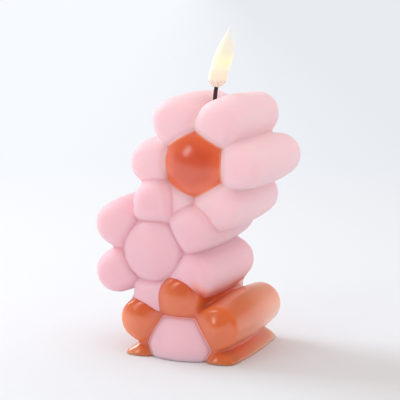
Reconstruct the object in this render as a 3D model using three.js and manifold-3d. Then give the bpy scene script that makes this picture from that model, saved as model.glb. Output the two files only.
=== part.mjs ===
// A pink wax candle of three stacked flowers with a battery light hidden in its base.
// Millimetres, +Z up, the flowers face -Y, and the origin is under the middle on the floor.
import * as THREE from "three";
import { mergeVertices } from "three/addons/utils/BufferGeometryUtils.js";
import Module from "manifold-3d";

const wasm = await Module();
wasm.setup();

// Clearances and overruns
const GAP = 0.3;
const POCKET_GAP = 0.5;
const OVERRUN = 2;

// Two cells side by side, with their contacts
const CELL_DIAMETER = 10.5;
const CELL_LENGTH = 44.5;
const NUB_DIAMETER = 3.8;
const NUB_HEIGHT = 0.8;
const CONTACT_THICKNESS = 0.4;
const CONTACT_WIDTH = 8.6;
const CONTACT_TAB_WIDTH = 2.4;
const CONTACT_TAB_RISE = 1.6;
const SPRING_LENGTH = 3.2;
const SPRING_WIRE = 0.5;
const SPRING_WIDE_RADIUS = 3.4;
const SPRING_NARROW_RADIUS = 2.2;
const SPRING_TURNS = 3;

// Moulded tray with its flange, and the cover screwed on top
const TRAY_WALL = 1.6;
const FLANGE_LIFT = 0.3;
const FLANGE_THICKNESS = 1.8;
const FLANGE_MARGIN = 3;
const COVER_THICKNESS = 1.5;
const ELECTRONICS_WIDTH = 16.4;
const POST_RADIUS = 2.6;
const POST_EDGE = 3.2;
const WIRE_NOTCH_WIDTH = 5.4;
const SCREW_RADIUS = 1;
const SCREW_LENGTH = 8;
const SCREW_HEAD_RADIUS = 1.9;
const SCREW_HEAD_HEIGHT = 1.2;

// Battery door, hinged at the rear
const DOOR_THICKNESS = 1.6;
const DOOR_INSET = 0.2;
const HINGE_RADIUS = 1;
const TRUNNION_RADIUS = 0.6;
const TRUNNION_LENGTH = 1;
const HINGE_BLOCK_WIDTH = 3;
const HINGE_SETBACK = 0.5;
const LATCH_WIDTH = 8;
const LATCH_LENGTH = 3;
const FINGER_NOTCH_RADIUS = 3;
const FINGER_NOTCH_DEPTH = 0.9;

// Slide switch in its well, with the circuit board over it
const SWITCH_TRAVEL = 3.6;
const SWITCH_WIDTH = 4.4;
const SWITCH_HEIGHT = 4;
const SWITCH_CASE_WALL = 1.2;
const STEM_WIDTH = 2.2;
const STEM_LENGTH = 2.6;
const KNOB_WIDTH = 4.4;
const KNOB_LENGTH = 4;
const KNOB_HEIGHT = 1.5;
const WELL_DEPTH = 2.3;
const WELL_ROOF = 1.5;
const WELL_MARGIN = 1.3;
const SWITCH_SPACE = 1;
const BOARD_LENGTH = 30;
const BOARD_THICKNESS = 1.2;
const LEDGE_LENGTH = 2.4;
const CHIP_WIDTH = 4;
const CHIP_LENGTH = 5;
const CHIP_HEIGHT = 1.5;
const CHIP_OFFSET = 3.5;
const CAPACITOR_RADIUS = 2;
const CAPACITOR_HEIGHT = 5;
const CAPACITOR_OFFSET = 9;
const RESISTOR_LENGTH = 6.2;
const RESISTOR_RADIUS = 1.1;
const RESISTOR_OFFSET = 6;
const CELL_WIRE_RADIUS = 0.5;
const CELL_WIRE_SPACING = 2.2;

// Flowers: six petals round a six-sided domed middle, all run through from front to back
const END_WALL = 9.4;
const SIDE_WALL = 6;
const PETAL_COUNT = 6;
const PETAL_SHARE = 0.512;
const CENTRE_SHARE = 0.608;
const PETAL_ROOT_SHARE = 0.55;
const BARREL_TAPER_SHARE = 0.141;
const SHOULDER_SHARE = 0.455;
const PETAL_DOME_SHARE = 0.207;
const CENTRE_DOME = 8.1;
const CENTRE_SINK = 4;
const CREASE_SHARE = 0.03;
const CREASE_FLARE_SHARE = 1.25;
// Places of the flowers: across and up in shares of a flower's radius, back in shares of its half depth
const BOTTOM_SHARES = { across: 0, back: 0, up: 0.171, turn: 0.5 };
const MIDDLE_SHARES = { across: -0.432, back: 0.09, up: 1.453, turn: 0.5 };
const TOP_SHARES = { across: 0.126, back: 0.247, up: 2.65, turn: 0 };

// Wick, lamp and flame
const WICK_RADIUS = 1.2;
const WICK_BORE_RADIUS = 0.82;
const WICK_DEPTH_SHARE = 0.137;
const WICK_ROOT = 10;
const WICK_RISE = 14.6;
const WICK_LEAN = 1.2;
const LEAD_RADIUS = 0.22;
const LEAD_SPACING = 0.86;
const LAMP_RADIUS = 1;
const LAMP_RIM_RADIUS = 1.25;
const LAMP_RIM_HEIGHT = 0.8;
const LAMP_LENGTH = 4;
const FLAME_HEIGHT = 36.4;
const FLAME_RADIUS = 5.8;
const FLAME_LEAN = 9.2;
const FLAME_OVERLAP = 0.6;
// Flame from its foot up: height, radius and sideways drift in shares of the whole
const FLAME_SHARES = [
  [0, 0, 0.05], [0, 0.4, 0.05], [0.05, 0.66, 0.08], [0.13, 0.93, 0.125], [0.2, 0.99, 0.15],
  [0.295, 0.97, 0.25], [0.42, 1, 0.41], [0.55, 0.93, 0.55], [0.68, 0.8, 0.69],
  [0.81, 0.6, 0.865], [0.925, 0.33, 1], [1, 0, 1],
];

// Facets of round shapes
const PETAL_FACETS = 20;
const ROUND_FACETS = 16;
const SMALL_FACETS = 8;
const WIRE_FACETS = 5;
const LEAD_STEPS = 26;
const WICK_STEPS = 12;
const CELL_WIRE_STEPS = 16;
const SPRING_STEPS = 10;
const SHOULDER_STEPS = 3;
const DOME_STEPS = 4;

// Finishes, in the colours of the photographed candle
const finish = (color, roughness, metalness = 0) =>
  new THREE.MeshStandardMaterial({ color, roughness, metalness });
const pinkWax = finish(0xf0bcc4, 0.55);
const whitePlastic = finish(0xf2efe9, 0.5);
const blackPlastic = finish(0x1c1a1a, 0.5);
const springSteel = finish(0xc9c9c4, 0.3, 1);
const nickel = finish(0xd6d2c8, 0.35, 1);
const cellJacket = finish(0x4a6f8f, 0.4);
const greenBoard = finish(0x1f6b3c, 0.5);
const tanCeramic = finish(0xcdb48a, 0.6);
const redSleeve = finish(0xb5281f, 0.5);
const blackSleeve = finish(0x202022, 0.5);
const copper = finish(0xb87333, 0.35, 1);
const sootBlack = finish(0x2b2123, 0.9);
const clearResin = finish(0xf7efcf, 0.15);
const flameResin = finish(0xfdf0cc, 0.3);

// Closed solid for cutting and joining, from a geometry whose shared corners are merged
function solid(geometry) {
  const bare = geometry.clone();
  bare.deleteAttribute("normal");
  bare.deleteAttribute("uv");
  const merged = mergeVertices(bare);
  const corners = merged.index.array;
  const triangles = [];
  for (let i = 0; i < corners.length; i += 3) {
    const [a, b, c] = corners.slice(i, i + 3);
    if (a !== b && b !== c && c !== a) triangles.push(a, b, c);
  }
  return new wasm.Manifold(new wasm.Mesh({
    numProp: 3,
    vertProperties: new Float32Array(merged.attributes.position.array),
    triVerts: new Uint32Array(triangles),
  }));
}

function geometryOf(body) {
  const { vertProperties, triVerts } = body.getMesh();
  const geometry = new THREE.BufferGeometry();
  geometry.setAttribute("position", new THREE.BufferAttribute(vertProperties, 3));
  geometry.setIndex(new THREE.BufferAttribute(triVerts, 1));
  return geometry;
}

function joined(parts) {
  return parts.reduce((whole, part) => whole.add(part));
}

function boxGeometry([x0, x1], [y0, y1], [z0, z1]) {
  const geometry = new THREE.BoxGeometry(x1 - x0, y1 - y0, z1 - z0);
  return geometry.translate((x0 + x1) / 2, (y0 + y1) / 2, (z0 + z1) / 2);
}

function block(xs, ys, zs) {
  return solid(boxGeometry(xs, ys, zs));
}

// Span of a given length about a middle value
function around(middle, length) {
  return [middle - length / 2, middle + length / 2];
}

// Upright round bar between two heights
function barGeometry(radius, x, y, [z0, z1], facets = ROUND_FACETS) {
  const geometry = new THREE.CylinderGeometry(radius, radius, z1 - z0, facets);
  return geometry.rotateX(Math.PI / 2).translate(x, y, (z0 + z1) / 2);
}

function bar(radius, x, y, zs, facets) {
  return solid(barGeometry(radius, x, y, zs, facets));
}

// Round bar along X, for the door's hinge
function crossBar(radius, [x0, x1], y, z) {
  const geometry = new THREE.CylinderGeometry(radius, radius, x1 - x0, ROUND_FACETS);
  return solid(geometry.rotateZ(Math.PI / 2).translate((x0 + x1) / 2, y, z));
}

// Round body about an upright axis, from radius and height pairs listed from the foot up
function turned(pairs, facets) {
  const profile = pairs.map(([radius, height]) => new THREE.Vector2(radius, height));
  return new THREE.LatheGeometry(profile, facets).rotateX(Math.PI / 2);
}

// Round section carried along a curve, with a bore if one is given
function tube(curve, radius, steps, facets, bore = 0) {
  const ring = (r) => Array.from({ length: facets }, (_, i) => {
    const angle = (i * 2 * Math.PI) / facets;
    return new THREE.Vector2(r * Math.cos(angle), r * Math.sin(angle));
  });
  const section = new THREE.Shape(ring(radius));
  if (bore > 0) section.holes.push(new THREE.Path(ring(bore).reverse()));
  return new THREE.ExtrudeGeometry(section, { steps, extrudePath: curve, bevelEnabled: false });
}

// Battery bay on the left, electronics on the right, both centred over the origin
const endStack = GAP + CONTACT_THICKNESS + GAP;
const springSpan = GAP + SPRING_LENGTH + GAP;
const bayHalf = (endStack + CELL_LENGTH + springSpan + GAP + CONTACT_THICKNESS) / 2;
const cellPitch = CELL_DIAMETER + 2 * GAP;
const bayWidth = cellPitch + CELL_DIAMETER + 2 * GAP;
const innerWidth = bayWidth + TRAY_WALL + ELECTRONICS_WIDTH;
const bayX = [-innerWidth / 2, -innerWidth / 2 + bayWidth];
const roomX = [bayX[1] + TRAY_WALL, innerWidth / 2];
const roomMiddle = (roomX[0] + roomX[1]) / 2;
const cellX = [bayX[0] + GAP + CELL_DIAMETER / 2, bayX[1] - GAP - CELL_DIAMETER / 2];
const trayX = innerWidth / 2 + TRAY_WALL;
const trayY = bayHalf + TRAY_WALL;
const flangeX = trayX + FLANGE_MARGIN;
const flangeY = trayY + FLANGE_MARGIN;
const pocketX = trayX + POCKET_GAP;
const pocketY = trayY + POCKET_GAP;

// Heights of the stack, from the floor up
const flangeTop = FLANGE_LIFT + FLANGE_THICKNESS;
const doorFoot = FLANGE_LIFT + DOOR_INSET;
const doorTop = doorFoot + DOOR_THICKNESS;
const hingeZ = doorFoot + DOOR_THICKNESS / 2;
const hingeY = bayHalf + HINGE_SETBACK;
const recessTop = Math.max(flangeTop, hingeZ + HINGE_RADIUS) + GAP;
const doorwayTop = Math.max(hingeZ + HINGE_RADIUS, doorTop) + GAP;
const cellZ = doorTop + GAP + CELL_DIAMETER / 2;
const wellTop = FLANGE_LIFT + WELL_DEPTH;
const wellRoofTop = wellTop + WELL_ROOF;
const switchFoot = wellRoofTop + GAP;
const boardFoot = switchFoot + SWITCH_HEIGHT + GAP;
const boardTop = boardFoot + BOARD_THICKNESS;
const wireZ = cellZ + CELL_DIAMETER / 2 + CELL_WIRE_RADIUS + 2 * GAP;
const trayTop = Math.max(boardTop + GAP + CAPACITOR_HEIGHT, wireZ + CELL_WIRE_RADIUS) + GAP;
const coverFoot = trayTop + GAP;
const coverTop = coverFoot + COVER_THICKNESS;
const headFoot = coverTop + GAP;
const pocketTop = headFoot + SCREW_HEAD_HEIGHT + 2 * POCKET_GAP;

// Flower sizes, worked out from the light unit that the bottom flower has to hold
const ringRadius = pocketX + SIDE_WALL;
const petalRadius = ringRadius * PETAL_SHARE;
const petalRoot = ringRadius * PETAL_ROOT_SHARE;
const centreApothem = ringRadius * CENTRE_SHARE;
const flowerRadius = ringRadius + petalRadius;
const halfDepth = pocketY + END_WALL;
const shoulder = petalRadius * SHOULDER_SHARE;
const petalDome = petalRadius * PETAL_DOME_SHARE;
const petalAngle = (2 * Math.PI) / PETAL_COUNT;

function flowerPlace({ across, back, up, turn }) {
  const at = new THREE.Vector3(across * flowerRadius, back * halfDepth, up * flowerRadius);
  return { at, turn: turn * petalAngle };
}
const bottomFlower = flowerPlace(BOTTOM_SHARES);
const middleFlower = flowerPlace(MIDDLE_SHARES);
const topFlower = flowerPlace(TOP_SHARES);

// Wick stands in the notch between the two upper petals of the top flower
const wickX = topFlower.at.x;
const wickY = WICK_DEPTH_SHARE * halfDepth;
const notchReach = Math.sqrt(petalRadius ** 2 - (ringRadius * Math.sin(petalAngle / 2)) ** 2);
const wickSeat = topFlower.at.z + ringRadius * Math.cos(petalAngle / 2) + notchReach;
const wickTop = wickSeat + WICK_RISE;
const channelRadius = WICK_RADIUS + GAP;
const lampFoot = wickTop + GAP;
const flameFoot = wickTop - FLAME_OVERLAP;
const lampX = wickX + WICK_LEAN;

// Barrel with domed ends: radius shrinks with the square of the distance from its waist
function petalProfile() {
  const endRadius = petalRadius * (1 - BARREL_TAPER_SHARE * (1 - shoulder / halfDepth) ** 2);
  const faceRadius = endRadius - shoulder;
  const faceHeight = halfDepth + petalDome * (1 - (faceRadius / petalRadius) ** 2);
  const half = [[petalRadius, 0]];
  const midway = (faceHeight - shoulder) / 2;
  half.push([petalRadius * (1 - BARREL_TAPER_SHARE * (midway / halfDepth) ** 2), midway]);
  for (let i = 0; i <= SHOULDER_STEPS; i += 1) {
    const angle = (i * Math.PI) / (2 * SHOULDER_STEPS);
    half.push([
      faceRadius + shoulder * Math.cos(angle),
      faceHeight - shoulder + shoulder * Math.sin(angle),
    ]);
  }
  half.push([0, halfDepth + petalDome]);
  const rear = half.slice(1).reverse().map(([radius, height]) => [radius, -height]);
  return [...rear, ...half].map(([radius, height]) => new THREE.Vector2(radius, height));
}

// Petal pointing along +X, its inner half drawn in towards the flower's middle
function petal(angle) {
  const geometry = new THREE.LatheGeometry(petalProfile(), PETAL_FACETS);
  const position = geometry.attributes.position;
  const inward = petalRadius / PETAL_FACETS;
  for (let i = 0; i < position.count; i += 1) {
    const x = position.getX(i);
    position.setX(i, x < -inward ? x - (ringRadius - petalRoot) : x);
  }
  return solid(geometry.translate(ringRadius, 0, 0).rotateY(-angle));
}

// Six-sided body about the depth axis, from apothem and depth pairs
function sixSided(pairs, turn) {
  const toCorner = 1 / Math.cos(petalAngle / 2);
  const profile = pairs.map(([apothem, depth]) => new THREE.Vector2(apothem * toCorner, depth));
  return solid(new THREE.LatheGeometry(profile, PETAL_COUNT).rotateY(-turn));
}

// Domed middle: a round lens kept inside the six sides
function flowerCentre(turn) {
  const rimRadius = centreApothem / Math.cos(petalAngle / 2);
  const rimDepth = halfDepth - CENTRE_SINK;
  const half = Array.from({ length: DOME_STEPS + 1 }, (_, i) => {
    const radius = (rimRadius + OVERRUN) * (1 - i / DOME_STEPS);
    return [radius, rimDepth + CENTRE_DOME * (1 - (radius / rimRadius) ** 2)];
  });
  const rear = half.slice().reverse().map(([radius, depth]) => [radius, -depth]);
  const profile = [...rear, ...half].map(([radius, depth]) => new THREE.Vector2(radius, depth));
  const lens = solid(new THREE.LatheGeometry(profile, PETAL_FACETS));
  const reach = halfDepth + CENTRE_DOME + OVERRUN;
  const prism = [[0, -reach], [centreApothem, -reach], [centreApothem, reach], [0, reach]];
  return lens.intersect(sixSided(prism, turn));
}

// Bowl cut into the petals round the middle, so that its rim lies in a crease
function creaseCutter(turn) {
  const inner = centreApothem * (1 - CREASE_SHARE);
  const start = halfDepth - CENTRE_SINK;
  const reach = halfDepth + petalDome + OVERRUN;
  const outer = inner + (reach - start) * CREASE_FLARE_SHARE;
  return sixSided([
    [0, -reach], [outer, -reach], [inner, -start], [inner, start], [outer, reach], [0, reach],
  ], turn);
}

function flower({ at, turn }) {
  const petals = Array.from({ length: PETAL_COUNT }, (_, i) => petal(turn + i * petalAngle));
  const whole = joined(petals).subtract(creaseCutter(turn)).add(flowerCentre(turn));
  return whole.translate([at.x, at.y, at.z]);
}

function waxBody() {
  const below = flowerRadius + OVERRUN;
  const flowers = joined([flower(bottomFlower), flower(middleFlower), flower(topFlower)]);
  return flowers
    .subtract(block(around(0, 2 * below), around(0, 2 * below), [-below, 0]))
    .subtract(block(around(0, 2 * pocketX), around(0, 2 * pocketY), [-OVERRUN, pocketTop]))
    .subtract(block(
      around(0, 2 * (flangeX + GAP)), around(0, 2 * (flangeY + GAP)), [-OVERRUN, recessTop],
    ))
    .subtract(bar(channelRadius, wickX, wickY, [pocketTop - OVERRUN, wickTop], SMALL_FACETS));
}

// Tray: flange, walls, partition, switch well, ledges, screw posts and hinge blocks
const postPlaces = [-1, 1].map((side) => [
  roomX[1] - POST_EDGE, side * (bayHalf - POST_EDGE),
]);
const boardY = around(wickY - LEDGE_LENGTH, BOARD_LENGTH);
const caseStart = boardY[0] + LEDGE_LENGTH + SWITCH_SPACE;
const switchY = caseStart + SWITCH_CASE_WALL + GAP + SWITCH_TRAVEL + STEM_LENGTH / 2;
const stemSpan = [switchY - STEM_LENGTH / 2 - SWITCH_TRAVEL, switchY + STEM_LENGTH / 2];
const knobSpan = [switchY - KNOB_LENGTH / 2 - SWITCH_TRAVEL, switchY + KNOB_LENGTH / 2];
const grow = ([low, high], by) => [low - by, high + by];
const wellX = around(roomMiddle, KNOB_WIDTH + 2 * WELL_MARGIN);
const wellY = grow(knobSpan, WELL_MARGIN);
const notchY = bayHalf - endStack - springSpan + CELL_WIRE_RADIUS;

function batteryTray() {
  const footing = [FLANGE_LIFT, flangeTop];
  const walls = block(around(0, 2 * trayX), around(0, 2 * trayY), [flangeTop - OVERRUN / 2, trayTop])
    .subtract(block(bayX, around(0, 2 * bayHalf), [-OVERRUN, trayTop + OVERRUN]))
    .subtract(block(roomX, around(0, 2 * bayHalf), [-OVERRUN, trayTop + OVERRUN]));
  const hingeBlocks = block(
    [-trayX, bayX[1] + HINGE_BLOCK_WIDTH], [bayHalf, trayY], [FLANGE_LIFT, doorwayTop + GAP],
  );
  const well = block(grow(wellX, TRAY_WALL), grow(wellY, TRAY_WALL), [FLANGE_LIFT, wellRoofTop]);
  const posts = postPlaces.map(([x, y]) => bar(POST_RADIUS, x, y, [FLANGE_LIFT, trayTop]));
  const ledges = [
    block(roomX, [boardY[0], boardY[0] + LEDGE_LENGTH], [FLANGE_LIFT, boardFoot - GAP]),
    block(roomX, [boardY[1] - LEDGE_LENGTH, boardY[1]], [FLANGE_LIFT, boardFoot - GAP]),
  ];
  const doorway = block(bayX, [-bayHalf, hingeY + HINGE_RADIUS + GAP], [-OVERRUN, doorwayTop]);
  const latchSpan = around((bayX[0] + bayX[1]) / 2, LATCH_WIDTH + 2 * GAP);
  const latchEnd = -bayHalf - LATCH_LENGTH;
  const trunnionSpan = grow(bayX, TRUNNION_LENGTH + GAP);
  const fingerX = (bayX[0] + bayX[1]) / 2;
  let tray = joined([
    block(around(0, 2 * flangeX), around(0, 2 * flangeY), footing),
    walls, hingeBlocks, well, ...posts, ...ledges,
  ]);
  tray = tray.subtract(doorway)
    .subtract(block(latchSpan, [latchEnd - GAP, -bayHalf + OVERRUN], [-OVERRUN, doorwayTop]))
    .subtract(bar(FINGER_NOTCH_RADIUS, fingerX, latchEnd, [-OVERRUN, FLANGE_LIFT + FINGER_NOTCH_DEPTH]))
    .subtract(crossBar(TRUNNION_RADIUS + GAP, trunnionSpan, hingeY, hingeZ))
    .subtract(block(wellX, wellY, [-OVERRUN, wellTop]))
    .subtract(block(
      around(roomMiddle, STEM_WIDTH + 2 * GAP), grow(stemSpan, GAP), [-OVERRUN, wellRoofTop + GAP],
    ))
    .subtract(block(
      [bayX[1] - GAP, roomX[0] + GAP], around(notchY, WIRE_NOTCH_WIDTH),
      [wireZ - CELL_WIRE_RADIUS - GAP, trayTop + OVERRUN],
    ));
  return postPlaces.reduce((body, [x, y]) => body.subtract(
    bar(SCREW_RADIUS + GAP, x, y, [trayTop - SCREW_LENGTH, trayTop + OVERRUN], SMALL_FACETS),
  ), tray);
}

function trayCover() {
  const plate = block(around(0, 2 * trayX), around(0, 2 * trayY), [coverFoot, coverTop]);
  const through = [coverFoot - OVERRUN, coverTop + OVERRUN];
  const drilled = postPlaces.reduce(
    (body, [x, y]) => body.subtract(bar(SCREW_RADIUS + GAP, x, y, through, SMALL_FACETS)), plate,
  );
  return drilled.subtract(bar(channelRadius, wickX, wickY, through, SMALL_FACETS));
}

function coverScrew([x, y]) {
  const tip = trayTop + GAP - SCREW_LENGTH;
  const head = turned([
    [0, tip], [SCREW_RADIUS, tip + SCREW_RADIUS], [SCREW_RADIUS, headFoot],
    [SCREW_HEAD_RADIUS, headFoot], [SCREW_HEAD_RADIUS, headFoot + SCREW_HEAD_HEIGHT / 2],
    [SCREW_HEAD_RADIUS / 2, headFoot + SCREW_HEAD_HEIGHT], [0, headFoot + SCREW_HEAD_HEIGHT],
  ], ROUND_FACETS);
  return head.translate(x, y, 0);
}

function batteryDoor() {
  const panelX = grow(bayX, -GAP);
  const panel = block(panelX, [-bayHalf + GAP, hingeY], [doorFoot, doorTop]);
  const latchSpan = around((bayX[0] + bayX[1]) / 2, LATCH_WIDTH);
  const latch = block(latchSpan, [-bayHalf - LATCH_LENGTH, -bayHalf + OVERRUN], [doorFoot, doorTop]);
  const barrel = crossBar(HINGE_RADIUS, panelX, hingeY, hingeZ);
  const trunnions = crossBar(TRUNNION_RADIUS, grow(bayX, TRUNNION_LENGTH), hingeY, hingeZ);
  return joined([panel, latch, barrel, trunnions]);
}

// Cell along the depth axis, its nub at the end that side points to
function cell(x, side) {
  const shell = CELL_DIAMETER / 2;
  const nubEnd = bayHalf - endStack;
  const shoulderEnd = nubEnd - NUB_HEIGHT;
  const negativeEnd = nubEnd - CELL_LENGTH;
  const profile = [
    [0, negativeEnd], [shell, negativeEnd], [shell, shoulderEnd],
    [NUB_DIAMETER / 2, shoulderEnd], [NUB_DIAMETER / 2, nubEnd], [0, nubEnd],
  ].map(([radius, y]) => new THREE.Vector2(radius, y));
  const geometry = new THREE.LatheGeometry(profile, ROUND_FACETS);
  if (side < 0) geometry.rotateZ(Math.PI);
  return geometry.translate(x, 0, cellZ);
}

// Cone-shaped coil from the wide turn on the contact to the narrow turn on the cell
class ConeCoil extends THREE.Curve {
  constructor(x, side) {
    super();
    this.x = x;
    this.side = side;
  }

  getPoint(t, target = new THREE.Vector3()) {
    const radius = SPRING_WIDE_RADIUS + (SPRING_NARROW_RADIUS - SPRING_WIDE_RADIUS) * t;
    const angle = 2 * Math.PI * SPRING_TURNS * t;
    const start = bayHalf - GAP - CONTACT_THICKNESS - GAP - SPRING_WIRE / 2;
    const depth = start - (SPRING_LENGTH - SPRING_WIRE) * t;
    return target.set(
      this.x + radius * Math.cos(angle), this.side * depth, cellZ + radius * Math.sin(angle),
    );
  }
}

function coilSpring(x, side) {
  return tube(new ConeCoil(x, side), SPRING_WIRE / 2, SPRING_TURNS * SPRING_STEPS, WIRE_FACETS);
}

const contactFoot = doorwayTop + GAP;
const contactTop = cellZ + CELL_DIAMETER / 2;
const contactSpan = (side) => {
  const depths = [side * (bayHalf - GAP), side * (bayHalf - GAP - CONTACT_THICKNESS)];
  return depths.sort((a, b) => a - b);
};

function contactPlate(x, side) {
  const plate = block(around(x, CONTACT_WIDTH), contactSpan(side), [contactFoot, contactTop]);
  const tab = block(
    around(x, CONTACT_TAB_WIDTH), contactSpan(side), [contactTop - GAP, contactTop + CONTACT_TAB_RISE],
  );
  return plate.add(tab);
}

function bridgePlate() {
  const span = [cellX[0] - CONTACT_WIDTH / 2, cellX[1] + CONTACT_WIDTH / 2];
  return boxGeometry(span, contactSpan(-1), [contactFoot, contactTop]);
}

// Sleeved wire from a contact's tab, over the partition and down to the board
function cellWire(x, lane) {
  const tabFace = bayHalf - endStack - CELL_WIRE_RADIUS;
  const laneY = notchY + lane * CELL_WIRE_SPACING / 2;
  const padX = roomX[0] + CHIP_WIDTH + (lane + 1) * CELL_WIRE_SPACING / 2;
  const padY = boardY[1] - LEDGE_LENGTH + lane * GAP;
  const boardEnd = boardTop + GAP;
  return tube(new THREE.CatmullRomCurve3([
    new THREE.Vector3(x, tabFace, wireZ),
    new THREE.Vector3(x + CELL_WIRE_SPACING / 2, (tabFace + laneY) / 2, wireZ),
    new THREE.Vector3(x + CELL_WIRE_SPACING, laneY, wireZ),
    new THREE.Vector3(roomX[0], laneY, wireZ),
    new THREE.Vector3(padX, (laneY + padY) / 2, (wireZ + boardEnd) / 2 + CELL_WIRE_SPACING / 2),
    new THREE.Vector3(padX, padY, boardEnd),
  ], false, "centripetal"), CELL_WIRE_RADIUS, CELL_WIRE_STEPS, WIRE_FACETS);
}

function circuitBoard() {
  return boxGeometry(grow(roomX, -GAP), boardY, [boardFoot, boardTop]);
}

function switchCase() {
  const caseY = grow(stemSpan, GAP + SWITCH_CASE_WALL);
  const cavityTop = switchFoot + SWITCH_HEIGHT - SWITCH_CASE_WALL;
  return block(around(roomMiddle, SWITCH_WIDTH), caseY, [switchFoot, switchFoot + SWITCH_HEIGHT])
    .subtract(block(
      around(roomMiddle, STEM_WIDTH + 2 * GAP), grow(stemSpan, GAP), [switchFoot - OVERRUN, cavityTop],
    ));
}

// Knob at its on end; it slides towards -Y to switch off
function switchKnob() {
  const headFootZ = wellTop - GAP - KNOB_HEIGHT;
  const stemTop = switchFoot + SWITCH_HEIGHT - SWITCH_CASE_WALL - GAP;
  const head = block(
    around(roomMiddle, KNOB_WIDTH), around(switchY, KNOB_LENGTH), [headFootZ, wellTop - GAP],
  );
  const stem = block(
    around(roomMiddle, STEM_WIDTH), around(switchY, STEM_LENGTH), [wellTop - KNOB_HEIGHT, stemTop],
  );
  return head.add(stem);
}

function boardBlock(width, length, height, x, y) {
  return boxGeometry(around(x, width), around(y, length), [boardTop + GAP, boardTop + GAP + height]);
}

function resistor() {
  const geometry = new THREE.CylinderGeometry(
    RESISTOR_RADIUS, RESISTOR_RADIUS, RESISTOR_LENGTH, ROUND_FACETS,
  );
  return geometry.translate(
    roomX[0] + RESISTOR_OFFSET, boardY[0] + RESISTOR_LENGTH, boardTop + GAP + RESISTOR_RADIUS,
  );
}

// Gentle curve of the wick: upright in its channel, drifting to one side above the wax
function wickCurve(foot, top, offset) {
  const drift = (z) => WICK_LEAN * Math.max(0, (z - wickSeat) / WICK_RISE) ** 2;
  const points = [foot];
  for (let i = 1; i < WICK_STEPS; i += 1) points.push(wickSeat + (WICK_RISE * i) / WICK_STEPS);
  points.push(top);
  return new THREE.CatmullRomCurve3(points.map(
    (z) => new THREE.Vector3(wickX + drift(z), wickY + offset, z),
  ), false, "centripetal");
}

function wickSleeve() {
  const curve = wickCurve(wickSeat - WICK_ROOT, wickTop, 0);
  return tube(curve, WICK_RADIUS, WICK_STEPS, SMALL_FACETS, WICK_BORE_RADIUS);
}

function leadWire(side) {
  const curve = wickCurve(boardTop + GAP, wickTop, (side * LEAD_SPACING) / 2);
  return tube(curve, LEAD_RADIUS, LEAD_STEPS, WIRE_FACETS);
}

function lamp() {
  const dome = lampFoot + LAMP_LENGTH - LAMP_RADIUS;
  return turned([
    [0, lampFoot], [LAMP_RIM_RADIUS, lampFoot], [LAMP_RIM_RADIUS, lampFoot + LAMP_RIM_HEIGHT],
    [LAMP_RADIUS, lampFoot + LAMP_RIM_HEIGHT], [LAMP_RADIUS, dome],
    [LAMP_RADIUS * Math.SQRT1_2, dome + LAMP_RADIUS * Math.SQRT1_2], [0, dome + LAMP_RADIUS],
  ], ROUND_FACETS).translate(lampX, wickY, 0);
}

// Flame: a turned drop whose axis drifts sideways towards the tip, over the lamp's socket
function flameShell() {
  const drop = turned(FLAME_SHARES.map(([up, out]) => [
    out * FLAME_RADIUS, flameFoot + up * FLAME_HEIGHT,
  ]), ROUND_FACETS);
  const position = drop.attributes.position;
  for (let i = 0; i < position.count; i += 1) {
    const [, , drift] = FLAME_SHARES[i % FLAME_SHARES.length];
    position.setX(i, position.getX(i) + drift * FLAME_LEAN);
  }
  const socketTop = lampFoot + LAMP_LENGTH + GAP;
  const socket = bar(LAMP_RIM_RADIUS + GAP, lampX, wickY, [flameFoot - OVERRUN, socketTop]);
  return solid(drop.translate(lampX, wickY, 0)).subtract(socket);
}

const candle = new THREE.Group();

function piece(name, shape, material) {
  const geometry = shape instanceof wasm.Manifold ? geometryOf(shape) : shape;
  const mesh = new THREE.Mesh(geometry, material);
  mesh.name = name;
  candle.add(mesh);
  return mesh;
}

const wax = piece("wax_body", waxBody(), pinkWax);
piece("battery_tray", batteryTray(), whitePlastic);
piece("tray_cover", trayCover(), whitePlastic);
piece("battery_door", batteryDoor(), whitePlastic);
postPlaces.forEach((place, i) => piece(`cover_screw_${i + 1}`, coverScrew(place), springSteel));
piece("cell_left", cell(cellX[0], 1), cellJacket);
piece("cell_right", cell(cellX[1], -1), cellJacket);
piece("bridge_contact", bridgePlate(), nickel);
piece("bridge_spring", coilSpring(cellX[0], -1), springSteel);
piece("positive_contact", contactPlate(cellX[0], 1), nickel);
piece("negative_contact", contactPlate(cellX[1], 1), nickel);
piece("negative_spring", coilSpring(cellX[1], 1), springSteel);
piece("positive_wire", cellWire(cellX[0], -1), redSleeve);
piece("negative_wire", cellWire(cellX[1], 1), blackSleeve);
piece("circuit_board", circuitBoard(), greenBoard);
piece("flicker_chip", boardBlock(
  CHIP_WIDTH, CHIP_LENGTH, CHIP_HEIGHT, roomX[1] - CHIP_OFFSET, boardY[1] - CHIP_LENGTH - CHIP_OFFSET,
), blackPlastic);
piece("capacitor", barGeometry(
  CAPACITOR_RADIUS, roomX[1] - CHIP_OFFSET, boardY[0] + CAPACITOR_OFFSET,
  [boardTop + GAP, boardTop + GAP + CAPACITOR_HEIGHT],
), blackPlastic);
piece("resistor", resistor(), tanCeramic);
piece("switch_case", switchCase(), springSteel);
piece("switch_knob", switchKnob(), blackPlastic);
piece("lead_wire_front", leadWire(-1), copper);
piece("lead_wire_rear", leadWire(1), copper);
piece("wick_sleeve", wickSleeve(), sootBlack);
piece("lamp", lamp(), clearResin);
piece("flame_shell", flameShell(), flameResin);

const bounds = new THREE.Box3().setFromObject(wax);
const middle = bounds.getCenter(new THREE.Vector3());
candle.position.set(-middle.x, -middle.y, 0);

export default candle;
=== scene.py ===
import itertools
import math

import bmesh
import bpy
import numpy as np
from bpy.props import FloatProperty, FloatVectorProperty, PointerProperty
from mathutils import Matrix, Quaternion, Vector


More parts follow.
